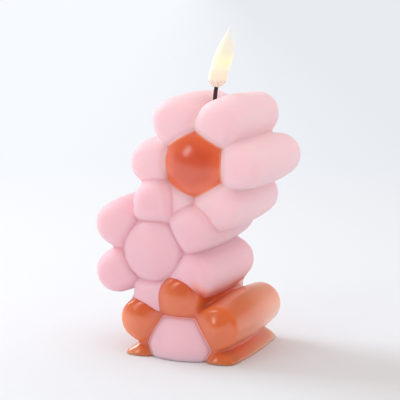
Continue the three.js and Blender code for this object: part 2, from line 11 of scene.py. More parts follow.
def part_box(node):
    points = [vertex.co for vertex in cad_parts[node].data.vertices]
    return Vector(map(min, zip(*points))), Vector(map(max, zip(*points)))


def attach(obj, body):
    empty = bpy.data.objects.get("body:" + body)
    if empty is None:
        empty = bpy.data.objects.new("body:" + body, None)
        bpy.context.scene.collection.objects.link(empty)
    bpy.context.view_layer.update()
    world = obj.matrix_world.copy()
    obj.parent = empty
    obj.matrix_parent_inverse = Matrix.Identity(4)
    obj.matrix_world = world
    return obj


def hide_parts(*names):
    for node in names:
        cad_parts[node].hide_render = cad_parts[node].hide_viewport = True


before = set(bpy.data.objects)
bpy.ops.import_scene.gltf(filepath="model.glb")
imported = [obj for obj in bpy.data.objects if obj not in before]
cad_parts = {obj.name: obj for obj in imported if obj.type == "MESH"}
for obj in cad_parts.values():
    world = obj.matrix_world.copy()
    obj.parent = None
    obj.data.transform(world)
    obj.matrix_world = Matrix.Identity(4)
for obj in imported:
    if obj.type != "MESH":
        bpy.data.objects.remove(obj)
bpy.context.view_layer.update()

bl_info = {
    "name": "Flower Candle",
    "version": (1, 0, 0),
    "blender": (4, 5, 0),
    "location": "View3D > Sidebar > Candle",
    "description": "Wax flowers, lacquer, wick, flame and battery light of a small table candle",
    "category": "Object",
}

MM = 0.001


def corners(node):
    """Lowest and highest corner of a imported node, in millimetres."""
    return tuple(np.array(corner, float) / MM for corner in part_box(node))


def tint(red, green, blue):
    """Linear colour of a paint that is written in 0 to 255 screen values."""
    screen = np.array([red, green, blue]) / 255
    linear = np.where(screen <= 0.04045, screen / 12.92, ((screen + 0.055) / 1.055) ** 2.4)
    return (*linear.tolist(), 1.0)


WAX_LOW, WAX_HIGH = corners("wax_body")
TRAY_LOW, TRAY_HIGH = corners("battery_tray")
COVER_LOW, COVER_HIGH = corners("tray_cover")
WICK_LOW, WICK_HIGH = corners("wick_sleeve")
LAMP_LOW, LAMP_HIGH = corners("lamp")
FLAME_LOW, FLAME_HIGH = corners("flame_shell")
RESISTOR_LOW, RESISTOR_HIGH = corners("resistor")
DOOR_TOP, SCREW_TOP = (corners(node)[1][2] for node in ("battery_door", "cover_screw_1"))

# Flowers, in shares of the ring of the petals' axes: petal's radius, middle's half width, root
PETALS = 6
PETAL_SHARE = 0.512
MIDDLE_SHARE = 0.608
ROOT_SHARE = 0.55
# Petals, in shares of their radius: taper at the ends, height of the faces, and their curve
TAPER_SHARE = 0.141
PETAL_DOME_SHARE = 0.207
INNER_FALL = 1.08
OUTER_FALL = 0.92
CURVE_END = 1.6
# One petal's face is flatter, with a small crown: its height and width and the face's curve
CROWNED_PETAL = ("bottom", 0)
CROWN_SHARE = 0.14
CROWN_WIDTH = 0.4
CROWN_CURVE = 0.12
# Middles, in mm: how far they stand proud, cap, rounded edge, and the hexagon's turn into a circle
MIDDLE_PROUD = 4.1
MIDDLE_CAP = 6.0
MIDDLE_EDGE = 2.0
MIDDLE_BULGE = 0.5
ROUNDING_FOOT = 0.3
ROUNDING_RISE = 1.6
CAP_END = 1.2
# Soft meetings, in mm: between petals, petal and middle, two flowers, petal and its cut-off root,
# two sides of a middle, wax and floor
PETAL_MEETING = 1.9
MIDDLE_MEETING = 2.2
FLOWER_MEETING = 4.0
CORE_MEETING = 5.5
SIDES_MEETING = 2.5
FLOOR_MEETING = 1.5
# The three flowers: across, back and up, in shares of a flower's radius, half depth and radius;
# turn in shares of a petal's angle; how far the middle's hexagon rounds off into a circle; petals'
# shoulders and the curve of their faces in shares of their radius
FLOWER_SHARES = {
    "bottom": (0.0, 0.0, 0.171, 0.5, 0.25, 0.17, 0.32),
    "middle": (-0.432, 0.09, 1.453, 0.5, 0.9, 0.38, 0.25),
    "top": (0.126, 0.247, 2.65, 0.0, 0.9, 0.38, 0.25),
}
REACH_SHARE = (FLOWER_SHARES["top"][0] + 1) - FLOWER_SHARES["middle"][0] + (
    math.cos(math.pi / PETALS) + PETAL_SHARE
) / (1 + PETAL_SHARE)
FLOWER_RADIUS = (WAX_HIGH[0] - WAX_LOW[0]) / REACH_SHARE
HALF_DEPTH = (WAX_HIGH[1] - WAX_LOW[1] - 2 * MIDDLE_PROUD) / (2 + FLOWER_SHARES["top"][1])
RING = FLOWER_RADIUS / (1 + PETAL_SHARE)
FLOWER_ORIGIN = np.array([
    WAX_HIGH[0] - (FLOWER_SHARES["top"][0] + 1) * FLOWER_RADIUS,
    WAX_LOW[1] + MIDDLE_PROUD + HALF_DEPTH,
    0.0,
])

# The light unit's space in the wax, in mm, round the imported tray, cover, screws and wick
RECESS_GAP = 0.3
POCKET_GAP = 0.5
CUT_OVERRUN = 2.0
CHANNEL_GAP = 0.3
BAR_COLUMNS = 48
WICK_RADIUS = 1.2
WICK_AXIS = (WICK_LOW[0] + WICK_RADIUS, (WICK_LOW[1] + WICK_HIGH[1]) / 2)

# Angles in degrees past which edges stay sharp
WAX_ANGLE = 65
FLAME_ANGLE = 60
PLASTIC_ANGLE = 50

# Fineness of the wax surface in mm, and how its points settle
WAX_CELL = 1.08
SETTLE_ROUNDS = 7
CLOSING_ROUNDS = 2
DRIFT_SHARE = 0.5
STRIDE = 0.6 * WAX_CELL
LEAST_STEEPNESS = 0.05
AXIS_ORDERS = ((0, 1, 2), (1, 2, 0), (2, 0, 1))
FIELD_STEP = 0.02
FAR = 4.0
MARGIN_CELLS = 3


def maths(operation, swapped=False):
    """A method that works out one operation with a node; swapped puts the other term first."""
    def method(self, other):
        terms = (other, self) if swapped else (self, other)
        return self.graph.node("Math", {"operation": operation}, dict(enumerate(terms)))

    return method


class Level:
    """One value that changes over a surface, with the sums that a finish needs."""

    def __init__(self, graph, socket):
        self.graph = graph
        self.socket = socket

    __add__ = __radd__ = maths("ADD")
    __mul__ = __rmul__ = maths("MULTIPLY")
    __sub__, __rsub__ = maths("SUBTRACT"), maths("SUBTRACT", swapped=True)
    __truediv__, __rtruediv__ = maths("DIVIDE"), maths("DIVIDE", swapped=True)

    def limited(self):
        """The same value kept between 0 and 1."""
        return self.graph.node("Clamp", {}, {"Value": self})

    def rise(self, low, high):
        """0 below low and 1 above high, with a soft step; it falls where low is the higher."""
        values = {"Value": self, "From Min": low, "From Max": high}
        return self.graph.node("MapRange", {"interpolation_type": "SMOOTHSTEP"}, values)


class Graph:
    """A node tree that a finish or the world is written in."""

    def __init__(self, tree, output):
        self.tree = tree
        tree.nodes.clear()
        self.output = tree.nodes.new("ShaderNodeOutput" + output)

    @staticmethod
    def socket(sockets, key):
        """The first socket with that number, identifier or name."""
        return next(s for i, s in enumerate(sockets) if key in (i, s.identifier, s.name))

    def node(self, kind, settings=None, values=None, output=0):
        """Adds a node: its settings first, then the values or links of its sockets."""
        node = self.tree.nodes.new("ShaderNode" + kind)
        for key, value in (settings or {}).items():
            setattr(node, key, value)
        for key, value in (values or {}).items():
            socket = self.socket(node.inputs, key)
            if isinstance(value, Level):
                self.tree.links.new(value.socket, socket)
            else:
                socket.default_value = value
        return Level(self, self.socket(node.outputs, output))

    def mix(self, share, first, second):
        values = {"Factor_Float": share, "A_Color": first, "B_Color": second}
        return self.node("Mix", {"data_type": "RGBA"}, values, "Result_Color")

    def layers(self, colour, *coats):
        """A colour under coats, each given as its share of cover and its own colour."""
        for share, coat in coats:
            colour = self.mix(share, colour, coat)
        return colour

    def along(self, vector, direction):
        """How far a vector reaches along a direction."""
        values = {0: vector, 1: direction}
        return self.node("VectorMath", {"operation": "DOT_PRODUCT"}, values, "Value")

    def blend(self, share, first, second):
        return self.node("MixShader", {}, {0: share, 1: first, 2: second})

    def seen(self):
        """Two shares: 1 for rays from the camera or through glass, and 1 for rays from gloss."""
        camera, glass, gloss = (
            self.node("LightPath", output=f"Is {kind} Ray")
            for kind in ("Camera", "Transmission", "Glossy")
        )
        return (camera + glass).limited(), gloss

    def show(self, shader):
        self.tree.links.new(shader.socket, self.output.inputs["Surface"])


class Finish(Graph):
    """A material round one Principled shader, with plain values on its sockets.

    place is the Object coordinate in metres; x, y and z are its parts in millimetres.
    """

    def __init__(self, name, **plain):
        self.material = bpy.data.materials.new(name)
        self.material.use_nodes = True
        super().__init__(self.material.node_tree, "Material")
        self.surface = self.node("BsdfPrincipled")
        self.shader = self.surface.socket.node
        self.show(self.surface)
        for key, value in plain.items():
            self.shader.inputs[key.replace("_", " ")].default_value = value
        self.place = self.node("TexCoord", output="Object")
        self.x, self.y, self.z = (
            self.node("SeparateXYZ", {}, {"Vector": self.place}, axis) / MM for axis in "XYZ"
        )

    def attribute(self, name):
        return self.node("Attribute", {"attribute_name": name}, output="Fac")

    def stretched(self, scale):
        return self.node("Mapping", {}, {"Vector": self.place, "Scale": scale})

    def noise(self, scale, detail=3.0, place=None):
        values = {"Vector": place or self.place, "Scale": scale, "Detail": detail}
        return self.node("TexNoise", {}, values)

    def cells(self, scale, feature="F1"):
        values = {"Vector": self.place, "Scale": scale}
        return self.node("TexVoronoi", {"feature": feature}, values, "Distance")

    def paint(self, name_of_socket, value):
        self.tree.links.new(value.socket, self.shader.inputs[name_of_socket])

    def dress(self, colour, roughness=None, height=None, depth=0.0):
        """Paints the colour, and if given the roughness and fine relief of a depth in metres."""
        self.paint("Base Color", colour)
        if roughness:
            self.paint("Roughness", roughness)
        if height:
            self.paint("Normal", self.node("Bump", {}, {"Height": height, "Distance": depth}))
        return self


def put_mesh(name, points, faces, finish, smooth_angle=None):
    """Makes a mesh object from points in millimetres and arrays of faces."""
    mesh = bpy.data.meshes.new(name)
    faces = [face for rows in faces for face in rows.tolist()]
    mesh.from_pydata(np.asarray(points) * MM, [], faces)
    if mesh.validate():
        raise RuntimeError(f"{name} has faces that can't be drawn")
    piece = bpy.data.objects.new(name, mesh)
    bpy.context.scene.collection.objects.link(piece)
    shade(piece, finish, smooth_angle)
    return piece


def shade(piece, finish, smooth_angle=None):
    """Gives a piece its finish and smooth faces, with sharp edges past an angle in degrees."""
    mesh = piece.data
    mesh.materials.clear()
    if finish:
        mesh.materials.append(finish.material)
    mesh.polygons.foreach_set("use_smooth", np.ones(len(mesh.polygons), bool))
    if smooth_angle:
        mesh.set_sharp_from_angle(angle=math.radians(smooth_angle))
    mesh.update()


def settle_modifiers(piece):
    """Applies all modifiers of a piece to its mesh."""
    bpy.context.view_layer.update()
    made = piece.evaluated_get(bpy.context.evaluated_depsgraph_get())
    mesh = bpy.data.meshes.new_from_object(made)
    piece.modifiers.clear()
    piece.data = mesh


def hand_over(piece, body, slot, *nodes):
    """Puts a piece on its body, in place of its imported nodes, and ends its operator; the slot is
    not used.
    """
    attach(piece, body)
    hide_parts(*nodes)
    return {"FINISHED"}


def ring_faces(rows, columns, closed_rows=False):
    """Quads of a grid whose columns close round; its rows close too if asked."""
    row = np.arange(rows if closed_rows else rows - 1)[:, None]
    column = np.arange(columns)[None, :]
    after, beside = (row + 1) % rows, (column + 1) % columns
    quads = ((row, column), (row, beside), (after, beside), (after, column))
    return np.stack([r * columns + c for r, c in quads], axis=-1).reshape(-1, 4)


def pole_faces(first, columns, pole, upper):
    """Triangles that close a ring of points, which begins at index first, onto a pole."""
    ring = first + np.arange(columns)
    pair = [ring, np.roll(ring, -1)]
    return np.stack([*(pair if upper else pair[::-1]), np.full(columns, pole)], axis=-1)


def box_corners(low, high):
    """Eight corners and six outward faces of a box, for cutting."""
    faces = [[0, 1, 3, 2], [4, 6, 7, 5], [0, 4, 5, 1], [2, 3, 7, 6], [0, 2, 6, 4], [1, 5, 7, 3]]
    return list(itertools.product(*zip(low, high))), [np.array(faces)]


def turns(columns):
    return 2 * math.pi * np.arange(columns) / columns


def circles(x, y, z, radius, columns):
    """Rings of points (x + radius cos turn, y + radius sin turn, z), with a row for each ring."""
    turn = turns(columns)
    rings = np.broadcast_arrays(x + radius * np.cos(turn), y + radius * np.sin(turn), z + 0 * turn)
    return np.stack(rings, axis=-1)


def closed_rings(rings, first_pole, last_pole):
    """Points and faces of rings, closed at both ends by a fan onto a pole."""
    columns = rings.shape[1]
    count = len(rings) * columns
    return np.concatenate([rings.reshape(-1, 3), [first_pole, last_pole]]), [
        ring_faces(len(rings), columns),
        pole_faces(0, columns, count, False),
        pole_faces(count - columns, columns, count + 1, True),
    ]


def upright_bar(radius, x, y, low, high):
    """Points and faces of an upright round bar, for cutting."""
    ends = np.array([[low], [high]])
    return closed_rings(circles(x, y, ends, radius, BAR_COLUMNS), [x, y, low], [x, y, high])


def lower(a, b, reach):
    """The lower of two fields, rounded where they differ by less than reach."""
    near = np.maximum(reach - np.abs(a - b), 0) / reach
    return np.minimum(a, b) - near * near * reach / 4


def higher(a, b, reach):
    """The higher of two fields, rounded where they differ by less than reach."""
    return -lower(-a, -b, reach)


def rounded_end(side, end, edge):
    """Field of a body with a rounded rim: side and end are distances past its inner edges."""
    outside = np.hypot(np.maximum(side, 0), np.maximum(end, 0))
    return outside + np.minimum(np.maximum(side, end), 0) - edge


def flower_centre(name):
    across, back, up = FLOWER_SHARES[name][:3]
    return FLOWER_ORIGIN + np.array([across * FLOWER_RADIUS, back * HALF_DEPTH, up * FLOWER_RADIUS])


def flower_fields(points, name):
    """Fields of one flower's six petals and of its domed middle.

    A petal is a barrel along the depth: distance from a short line between root and ring, less a
    radius that shrinks with the square of the depth, with a rounded shoulder. Its end bulges by a
    parabola of the distance from the ring, and the crowned petal's by a bell curve more. The middle
    is a hexagon, rounded off towards a circle, whose ends bulge by a parabola too.
    """
    turn, roundness, shoulder_share, curve_share = FLOWER_SHARES[name][3:]
    x, y, z = (points - flower_centre(name)).T
    depth = np.abs(y)
    petal_radius = PETAL_SHARE * RING
    shoulder = shoulder_share * petal_radius
    apothem = MIDDLE_SHARE * RING
    radius = petal_radius * (1 - TAPER_SHARE * (y / HALF_DEPTH) ** 2)
    petals, sides = [], None
    for k in range(PETALS):
        angle = (turn + k) * 2 * math.pi / PETALS
        out = x * math.cos(angle) + z * math.sin(angle)
        off = z * math.cos(angle) - x * math.sin(angle)
        from_line = np.hypot(out - np.clip(out, ROOT_SHARE * RING, RING), off)
        fall = np.where(out < RING, INNER_FALL, OUTER_FALL)
        from_ring = np.hypot((out - RING) * fall, off) / petal_radius
        crowned = (name, k) == CROWNED_PETAL
        fallen = (CROWN_CURVE if crowned else curve_share) * np.minimum(from_ring, CURVE_END) ** 2
        if crowned:
            fallen += CROWN_SHARE * (1 - np.exp(-(from_ring / CROWN_WIDTH) ** 2))
        bulge = petal_radius * (PETAL_DOME_SHARE - fallen)
        end = depth - (HALF_DEPTH - shoulder) - bulge
        petal = rounded_end(from_line - (radius - shoulder), end, shoulder)
        petals.append(higher(petal, apothem - out, CORE_MEETING))
        sides = out if sides is None else higher(sides, out, SIDES_MEETING)
    corner = apothem / math.cos(math.pi / PETALS)
    from_axis = np.hypot(x, z)
    rim = HALF_DEPTH + MIDDLE_PROUD - MIDDLE_CAP - MIDDLE_EDGE
    rounding = roundness * np.clip((depth - rim - ROUNDING_FOOT) / ROUNDING_RISE, 0, 1)
    side = sides + rounding * (from_axis - MIDDLE_BULGE - sides)
    end = depth - rim - MIDDLE_CAP * (1 - np.minimum((from_axis / corner) ** 2, CAP_END))
    middle = rounded_end(side - (apothem - MIDDLE_EDGE), end, MIDDLE_EDGE)
    return petals, middle


def wax_field(points):
    """Below 0 inside the wax: three flowers with soft meetings, cut flat on the floor."""
    whole = np.full(len(points), FAR)
    for name in FLOWER_SHARES:
        spot = points - flower_centre(name)
        near = np.hypot(spot[:, 0], spot[:, 2]) < FLOWER_RADIUS + FAR
        petals, middle = flower_fields(points[near], name)
        flower = petals[0]
        for petal in petals[1:]:
            flower = lower(flower, petal, PETAL_MEETING)
        flower = lower(flower, middle, MIDDLE_MEETING)
        whole[near] = lower(whole[near], flower, FLOWER_MEETING)
    return higher(whole, -points[:, 2], FLOOR_MEETING)


def onto_surface(field, points):
    """Moves points onto the zero surface along the field's slope, and gives that slope."""
    here = field(points)
    slope = np.empty_like(points)
    for axis in range(3):
        step = np.zeros(3)
        step[axis] = FIELD_STEP
        slope[:, axis] = (field(points + step) - here) / FIELD_STEP
    steepness = np.maximum((slope**2).sum(1), LEAST_STEEPNESS)
    move = (here / steepness)[:, None] * slope
    return points - np.clip(move, -STRIDE, STRIDE), slope


def net_surface(field, low, high, cell):
    """Closed surface where a field is zero.

    On a grid, each cell that the surface crosses gets one point, the mean of the crossings on its
    edges, and each crossed edge gets one quad round it. The points then drift along the surface
    towards their neighbours' mean, and back onto the zero of the field.
    """
    counts = np.ceil((high - low) / cell).astype(int) + 1
    axes = [low[i] + cell * np.arange(counts[i]) for i in range(3)]
    grid = np.stack(np.meshgrid(*axes, indexing="ij"), axis=-1)
    values = field(grid.reshape(-1, 3)).reshape(counts)
    inside = values < 0
    total = np.zeros((*(counts - 1), 3))
    crossed_edges = np.zeros(counts - 1)
    for order in AXIS_ORDERS:
        level = values.transpose(order)
        start, stop = level[:-1], level[1:]
        crossed = (start < 0) != (stop < 0)
        share = np.where(crossed, start / np.where(crossed, start - stop, 1), 0)
        spot = grid.transpose(*order, 3)[:-1].copy()
        spot[..., order[0]] += share * cell
        spot *= crossed[..., None]
        sums, number = total.transpose(*order, 3), crossed_edges.transpose(order)
        rows, columns = sums.shape[1:3]
        for i, j in itertools.product((0, 1), repeat=2):
            sums += spot[:, i:rows + i, j:columns + j]
            number += crossed[:, i:rows + i, j:columns + j]
    used = crossed_edges > 0
    index = np.full(used.shape, -1)
    index[used] = np.arange(used.sum())
    points = total[used] / crossed_edges[used][:, None]
    quads = []
    for order in AXIS_ORDERS:
        within, cells = inside.transpose(order)[:, 1:-1, 1:-1], index.transpose(order)
        around = [cells[:, :-1, :-1], cells[:, 1:, :-1], cells[:, 1:, 1:], cells[:, :-1, 1:]]
        quads.append(np.stack([c[within[:-1] & ~within[1:]] for c in around], axis=-1))
        quads.append(np.stack([c[~within[:-1] & within[1:]] for c in around[::-1]], axis=-1))
    quads = np.concatenate(quads)
    here, there = quads.ravel(), np.roll(quads, -1, axis=1).ravel()
    neighbours = np.bincount(here, minlength=len(points))[:, None]
    for _ in range(SETTLE_ROUNDS):
        points, slope = onto_surface(field, points)
        mean = np.stack([
            np.bincount(here, points[there, axis], len(points)) for axis in range(3)
        ], axis=-1) / neighbours
        drift = (mean - points) * DRIFT_SHARE
        outward = slope / np.maximum(np.linalg.norm(slope, axis=1), 1e-6)[:, None]
        points += drift - (drift * outward).sum(1)[:, None] * outward
    for _ in range(CLOSING_ROUNDS):
        points = onto_surface(field, points)[0]
    return points, quads


def cut_out(piece, shapes):
    """Cuts closed shapes, given as points and faces, out of a piece."""
    for points, faces in shapes:
        cutter = put_mesh("cutter", points, faces, None)
        cut = piece.modifiers.new("cut", "BOOLEAN")
        cut.operation, cut.solver, cut.object = "DIFFERENCE", "MANIFOLD", cutter
        settle_modifiers(piece)
        bpy.data.objects.remove(cutter)


def mark(mesh, name, values):
    """Stores one number a point in a mesh, for its finish to read."""
    layer = mesh.attributes.new(name, "FLOAT", "POINT")
    layer.data.foreach_set("value", np.asarray(values, np.float32))


def mark_wax(mesh):
    """Stores how far each point lies inside a form: the lowest field of the others less its own.

    above_mm is the distance outside the bottom petals. crease_mm is the difference of the two
    lowest fields, 0 along a crease.
    """
    points = np.empty(len(mesh.vertices) * 3, np.float32)
    mesh.vertices.foreach_get("co", points)
    points = points.reshape(-1, 3).astype(float) / MM
    fields, groups = [], []
    for name in FLOWER_SHARES:
        petals, middle = flower_fields(points, name)
        fields += [*petals, middle]
        groups += [f"{name} petal"] * PETALS + [f"{name} middle"]
    fields, groups = np.array(fields), np.array(groups)
    for name, form in (
        ("dome", "top middle"), ("petal", "bottom petal"), ("base", "bottom middle"), ("top", "top"),
    ):
        own = np.char.startswith(groups, form)
        mark(mesh, f"{name}_mm", fields[~own].min(0) - fields[own].min(0))
    mark(mesh, "above_mm", fields[groups == "bottom petal"].min(0))
    nearest = np.partition(fields, 1, axis=0)
    mark(mesh, "crease_mm", nearest[1] - nearest[0])


# Where the colours of the wax change, in mm: a share goes from 0 at the first to 1 at the second.
# HEIGHT, DEPTH and SIDE are places, and the others are distances that mark_wax stores
# Painted light from above: the wax grows paler upwards and on the top flower
LIT_FROM_ABOVE_HEIGHT = (28, 112)
HEIGHT_SWAY = 26
TOP_BORDER = (-2.5, 2.5)
TOP_ALONE = (0.5, 7.0)
# Painted shade along the creases, outside the top flower
CREASE = (1.4, 0.0)
# Painted light along the top flower's creases, lifting their shade
TOP_CREASE_LIGHT = (5.0, 0.5)
SPRAY = (7.0, 0.4)
SPRAY_GRAIN = 1.5
SPRAY_SIDE = (11, 18)
SPRAY_HEIGHT = (30, 40)
SPRAY_DEEP = (4.0, 0.6)
# Bare wax line round the lowest middle, painted lighter as a highlight on its ridge, with painted
# shadow just inside it
RIM_BAND = ((-1.15, -0.85), (0.45, 0.1))
RIM_INNER_SHADOW = ((0.2, 0.5), (2.0, 0.9))
BARE_BAND = (-3.5, -1.2)
BARE_WIDTH = 0.85
BORDER_GRAIN = 0.3
DOME_BORDER = (-0.1, 0.25)
PETAL_BORDER = (0.0, 0.3)
FLANK_BAND = ((-33, -25), (27, 19))
THIN_DEPTH = (-27, 20)
# Painted floor light: the lacquer is paler low on the sides
FLOOR_BOUNCE_HEIGHT = (9, 2)
FLOOR_BOUNCE_DEPTH = (-34, -20)
# Painted shade: deeper orange near the creases, and on the upper parts of the front faces
CREASE_SHADE_REACH = (6.5, 0.8)
CREASE_SHADE_DEPTH = (34, -26)
# Painted light: brighter orange in the grooves and on the feet, against their shade
GROOVE_LIGHT = (2.0, 0.2)
FOOT_LIGHT_HEIGHT = (12, 6)
# Painted highlight along the ridges between petals
RIDGE_HIGHLIGHT = ((0.7, 1.2), (2.2, 1.5))
# Painted shade: a dark line along the petals' upper borders
EDGE = (0.9, 0.15)
BORDER_SHADE_END = (-1.5, -3)
# Painted floor light: paler low faces at the left and by the base
FLOOR_LIGHT_SIDE = (-16, -31)
FLOOR_LIGHT_BASE = (-6, -1.5)
FLOOR_LIGHT_HEIGHT = (31, 20)
DOME_DEEP = (10, 1.0)
# Painted highlight along the dome's rounded rim
DOME_RIM_HIGHLIGHT = (1.9, 0.6)


def band(level, edges):
    """1 between two edges and 0 outside them, with a soft step at each."""
    return level.rise(*edges[0]) * level.rise(*edges[1])


def pink_wax(finish, settings, cloud, grain):
    """Wax: paler upwards and on the top flower, as painted light from above.

    Its creases get painted shade, and those of the top flower get painted light instead. Spray runs
    onto it, and the bare rim beside the lacquer is painted lighter as a highlight, with painted
    shadow just inside it.
    """
    base, above, top, crease = (
        finish.attribute(name) for name in ("base_mm", "above_mm", "top_mm", "crease_mm")
    )
    # painted light from above: a share that grows upwards
    height = (finish.z + (cloud - 0.5) * HEIGHT_SWAY).rise(*LIT_FROM_ABOVE_HEIGHT)
    alone = top.rise(*TOP_ALONE)
    spray = (above + (grain - 0.5) * SPRAY_GRAIN).rise(*SPRAY) * finish.x.rise(*SPRAY_SIDE)
    spray = (spray * finish.z.rise(*SPRAY_HEIGHT)).limited()
    sprayed = finish.mix(above.rise(*SPRAY_DEEP), settings.orange_thin_and_floor_lit, settings.orange_dense_and_shade)
    return finish.layers(
        settings.pink_shaded_low,
        # painted light from above, on the top flower and upwards
        (top.rise(*TOP_BORDER) * 0.65 + height * 0.35, settings.pink_lit_high),
        # painted shade along the creases
        (crease.rise(*CREASE) * (1 - alone) * 0.5, settings.pink_crease_shade),
        # painted light along the top flower's creases
        (crease.rise(*TOP_CREASE_LIGHT) * alone * 0.7, settings.pink_painted_light),
        (spray * 0.9, sprayed),
        # painted shadow inside the bare rim, then the bare rim painted lighter as a highlight
        (band(base, RIM_INNER_SHADOW) * 0.5, settings.pink_crease_shade),
        (band(base, RIM_BAND), settings.pink_bare_rim_highlight),
    )


def petal_lacquer(finish, settings, cloud, petal):
    """Lacquer on the bottom petals: thin towards the back, and deeper orange near the creases as
    painted shade.

    It is painted brighter in the grooves and on the foot against their shade, and darker along its
    upper border as painted shade. It is painted paler low down, at the left and by the base, as
    floor light, and it carries a painted highlight along the ridges.
    """
    base, crease = finish.attribute("base_mm"), finish.attribute("crease_mm")
    flank = band(finish.y, FLANK_BAND)
    # the grooves, painted brighter against their shade
    valley = crease.rise(*GROOVE_LIGHT) * flank
    # painted floor light: paler low on the sides, added to the thin lacquer
    low = finish.z.rise(*FLOOR_BOUNCE_HEIGHT) * finish.y.rise(*FLOOR_BOUNCE_DEPTH) * 0.4
    thin = finish.y.rise(*THIN_DEPTH) * (0.95 + (cloud - 0.5) * 0.8) + low
    # painted shade: deeper orange near the creases
    shaded_by_creases = crease.rise(*CREASE_SHADE_REACH) * finish.y.rise(*CREASE_SHADE_DEPTH) * (flank * 0.35 + 0.45)
    # painted shade along the upper borders of the faces
    edge = petal.rise(*EDGE) * base.rise(*BORDER_SHADE_END) * (1 - flank)
    # painted floor light: paler at the left and by the base
    pale = finish.x.rise(*FLOOR_LIGHT_SIDE) * 0.55 + base.rise(*FLOOR_LIGHT_BASE) * 0.35
    return finish.layers(
        settings.orange,
        ((thin * (1 - valley)).limited(), settings.orange_thin_and_floor_lit),
        (shaded_by_creases, settings.orange_dense_and_shade),
        (valley, settings.orange_groove_light),
        # painted light on the feet
        (finish.z.rise(*FOOT_LIGHT_HEIGHT) * flank * 0.55, settings.orange_groove_light),
        # painted highlight along the ridges
        (band(crease, RIDGE_HIGHLIGHT) * flank * 0.45, settings.orange_bright_ridge_highlight),
        (edge * 0.65, settings.orange_border_shade),
        (pale * finish.z.rise(*FLOOR_LIGHT_HEIGHT) * (1 - flank), settings.orange_thin_and_floor_lit),
    )


def wax_finish(settings):
    """Pink wax with lacquer sprayed on the bottom petals and on the top flower's middle."""
    finish = Finish("wax", Roughness=0.5, IOR=1.44, Subsurface_Weight=1.0, Subsurface_Scale=0.01,
                    Subsurface_Radius=(1.0, 0.62, 0.52), Coat_Roughness=0.2, Coat_IOR=1.8,
                    Specular_IOR_Level=0.25)
    cloud, grain = finish.noise(scale=26, detail=2), finish.noise(scale=700)
    dome, base = finish.attribute("dome_mm"), finish.attribute("base_mm")
    petal = finish.attribute("petal_mm") - base.rise(*BARE_BAND) * BARE_WIDTH
    on_dome, on_petals = (
        (form + (grain - 0.5) * BORDER_GRAIN).rise(*border)
        for form, border in ((dome, DOME_BORDER), (petal, PETAL_BORDER))
    )
    dome_lacquer = finish.layers(
        settings.orange_deep,
        (dome.rise(*DOME_DEEP), settings.orange_bright_ridge_highlight),
        # painted highlight along the dome's rounded rim
        (dome.rise(*DOME_RIM_HIGHLIGHT), settings.orange_rim_highlight),
    )
    lacquer = finish.mix(on_dome, petal_lacquer(finish, settings, cloud, petal), dome_lacquer)
    cover = (on_dome + on_petals).limited()
    finish.paint("Coat Weight", cover)
    return finish.dress(
        finish.mix(cover, pink_wax(finish, settings, cloud, grain), lacquer),
        0.52 - cover * 0.05 + (grain - 0.5) * 0.1,
        finish.noise(scale=160) * 0.7 + finish.noise(scale=2600, detail=1) * 0.3, 0.00012,
    )


# Wick, in mm: root in the wax, rise above it, lean to the side, bore for the wires and plait
WICK_ROOT = 10.0
WICK_RISE = 14.6
WICK_LEAN = 1.2
BORE_RADIUS = 0.82
WICK_COLUMNS = 48
WICK_ROWS = 150
PLAIT_DEPTH = 0.1
PLAIT_TWIST = 2.0
PLAIT_SHARPNESS = 0.6
# Flame: gap round the lamp, foot and lean in mm, spacing of its rings, tip and dimples of its foot
FLAME_GAP = 0.3
FLAME_FOOT = FLAME_LOW[2] + 1.0
LEAN_OF_FLAME = 9.2
FLAME_ROWS = 110
FLAME_COLUMNS = 72
EVEN_SHARE = 0.65
SMOOTH_ROUNDS = 12
THINNEST_SHARE = 0.02
TIP_POWER = 1.25
DIMPLE_DEPTH = 0.16
DIMPLE_PLACE = 0.05
DIMPLE_WAVES = (11, 2, 90, 150)
# Flame from its foot up: height, radius and sideways drift in shares of the whole
FLAME_SHARES = np.array([
    [0, 0.52, 0.05], [0.05, 0.79, 0.08], [0.13, 0.97, 0.125], [0.2, 0.99, 0.15],
    [0.295, 0.97, 0.25], [0.42, 1, 0.41], [0.55, 0.93, 0.55], [0.68, 0.8, 0.69],
    [0.81, 0.53, 0.83], [0.925, 0.22, 0.93], [1, 0, 0.975],
])
FLAME_RADIUS = (FLAME_HIGH[1] - FLAME_LOW[1]) / 2
LAMP_X, LAMP_Y = (LAMP_LOW + LAMP_HIGH)[:2] / 2


def wick_grid():
    """Sleeve of plaited yarn: a tube along a parabola, less a groove where neither spiral runs.

    Row by row the outline runs up the outside and down the bore.
    """
    x, y = WICK_AXIS
    seat = WICK_LOW[2] + WICK_ROOT
    rise = np.linspace(WICK_LOW[2], seat + WICK_RISE, WICK_ROWS)[:, None]
    turn = turns(WICK_COLUMNS)
    lean = np.maximum(rise - seat, 0) / WICK_RISE
    axis, tilt = x + WICK_LEAN * lean**2, 2 * WICK_LEAN * lean / WICK_RISE
    right, left = (np.abs(np.cos(2 * turn + way * rise * PLAIT_TWIST)) for way in (1, -1))
    raised = np.maximum(right, left) ** PLAIT_SHARPNESS

    def tube(radius):
        rings = circles(axis, y, rise, radius, WICK_COLUMNS)
        rings[..., 2] -= tilt * (rings[..., 0] - axis)
        return rings

    outer = tube(WICK_RADIUS * (1 - PLAIT_DEPTH + PLAIT_DEPTH * raised))
    rows = np.concatenate([outer, tube(BORE_RADIUS)[::-1]])
    return rows.reshape(-1, 3), [ring_faces(len(rows), WICK_COLUMNS, closed_rows=True)]


def wick_finish(settings):
    """Cotton yarn, blackened: darker in the grooves, greyer on the raised strands."""
    finish = Finish("wick", Roughness=0.85)
    fibre = finish.noise(scale=2200, detail=4, place=finish.stretched((1, 1, 0.3)))
    colour = finish.mix(fibre, settings.soot, settings.soot_light)
    return finish.dress(colour, height=fibre, depth=0.0002)


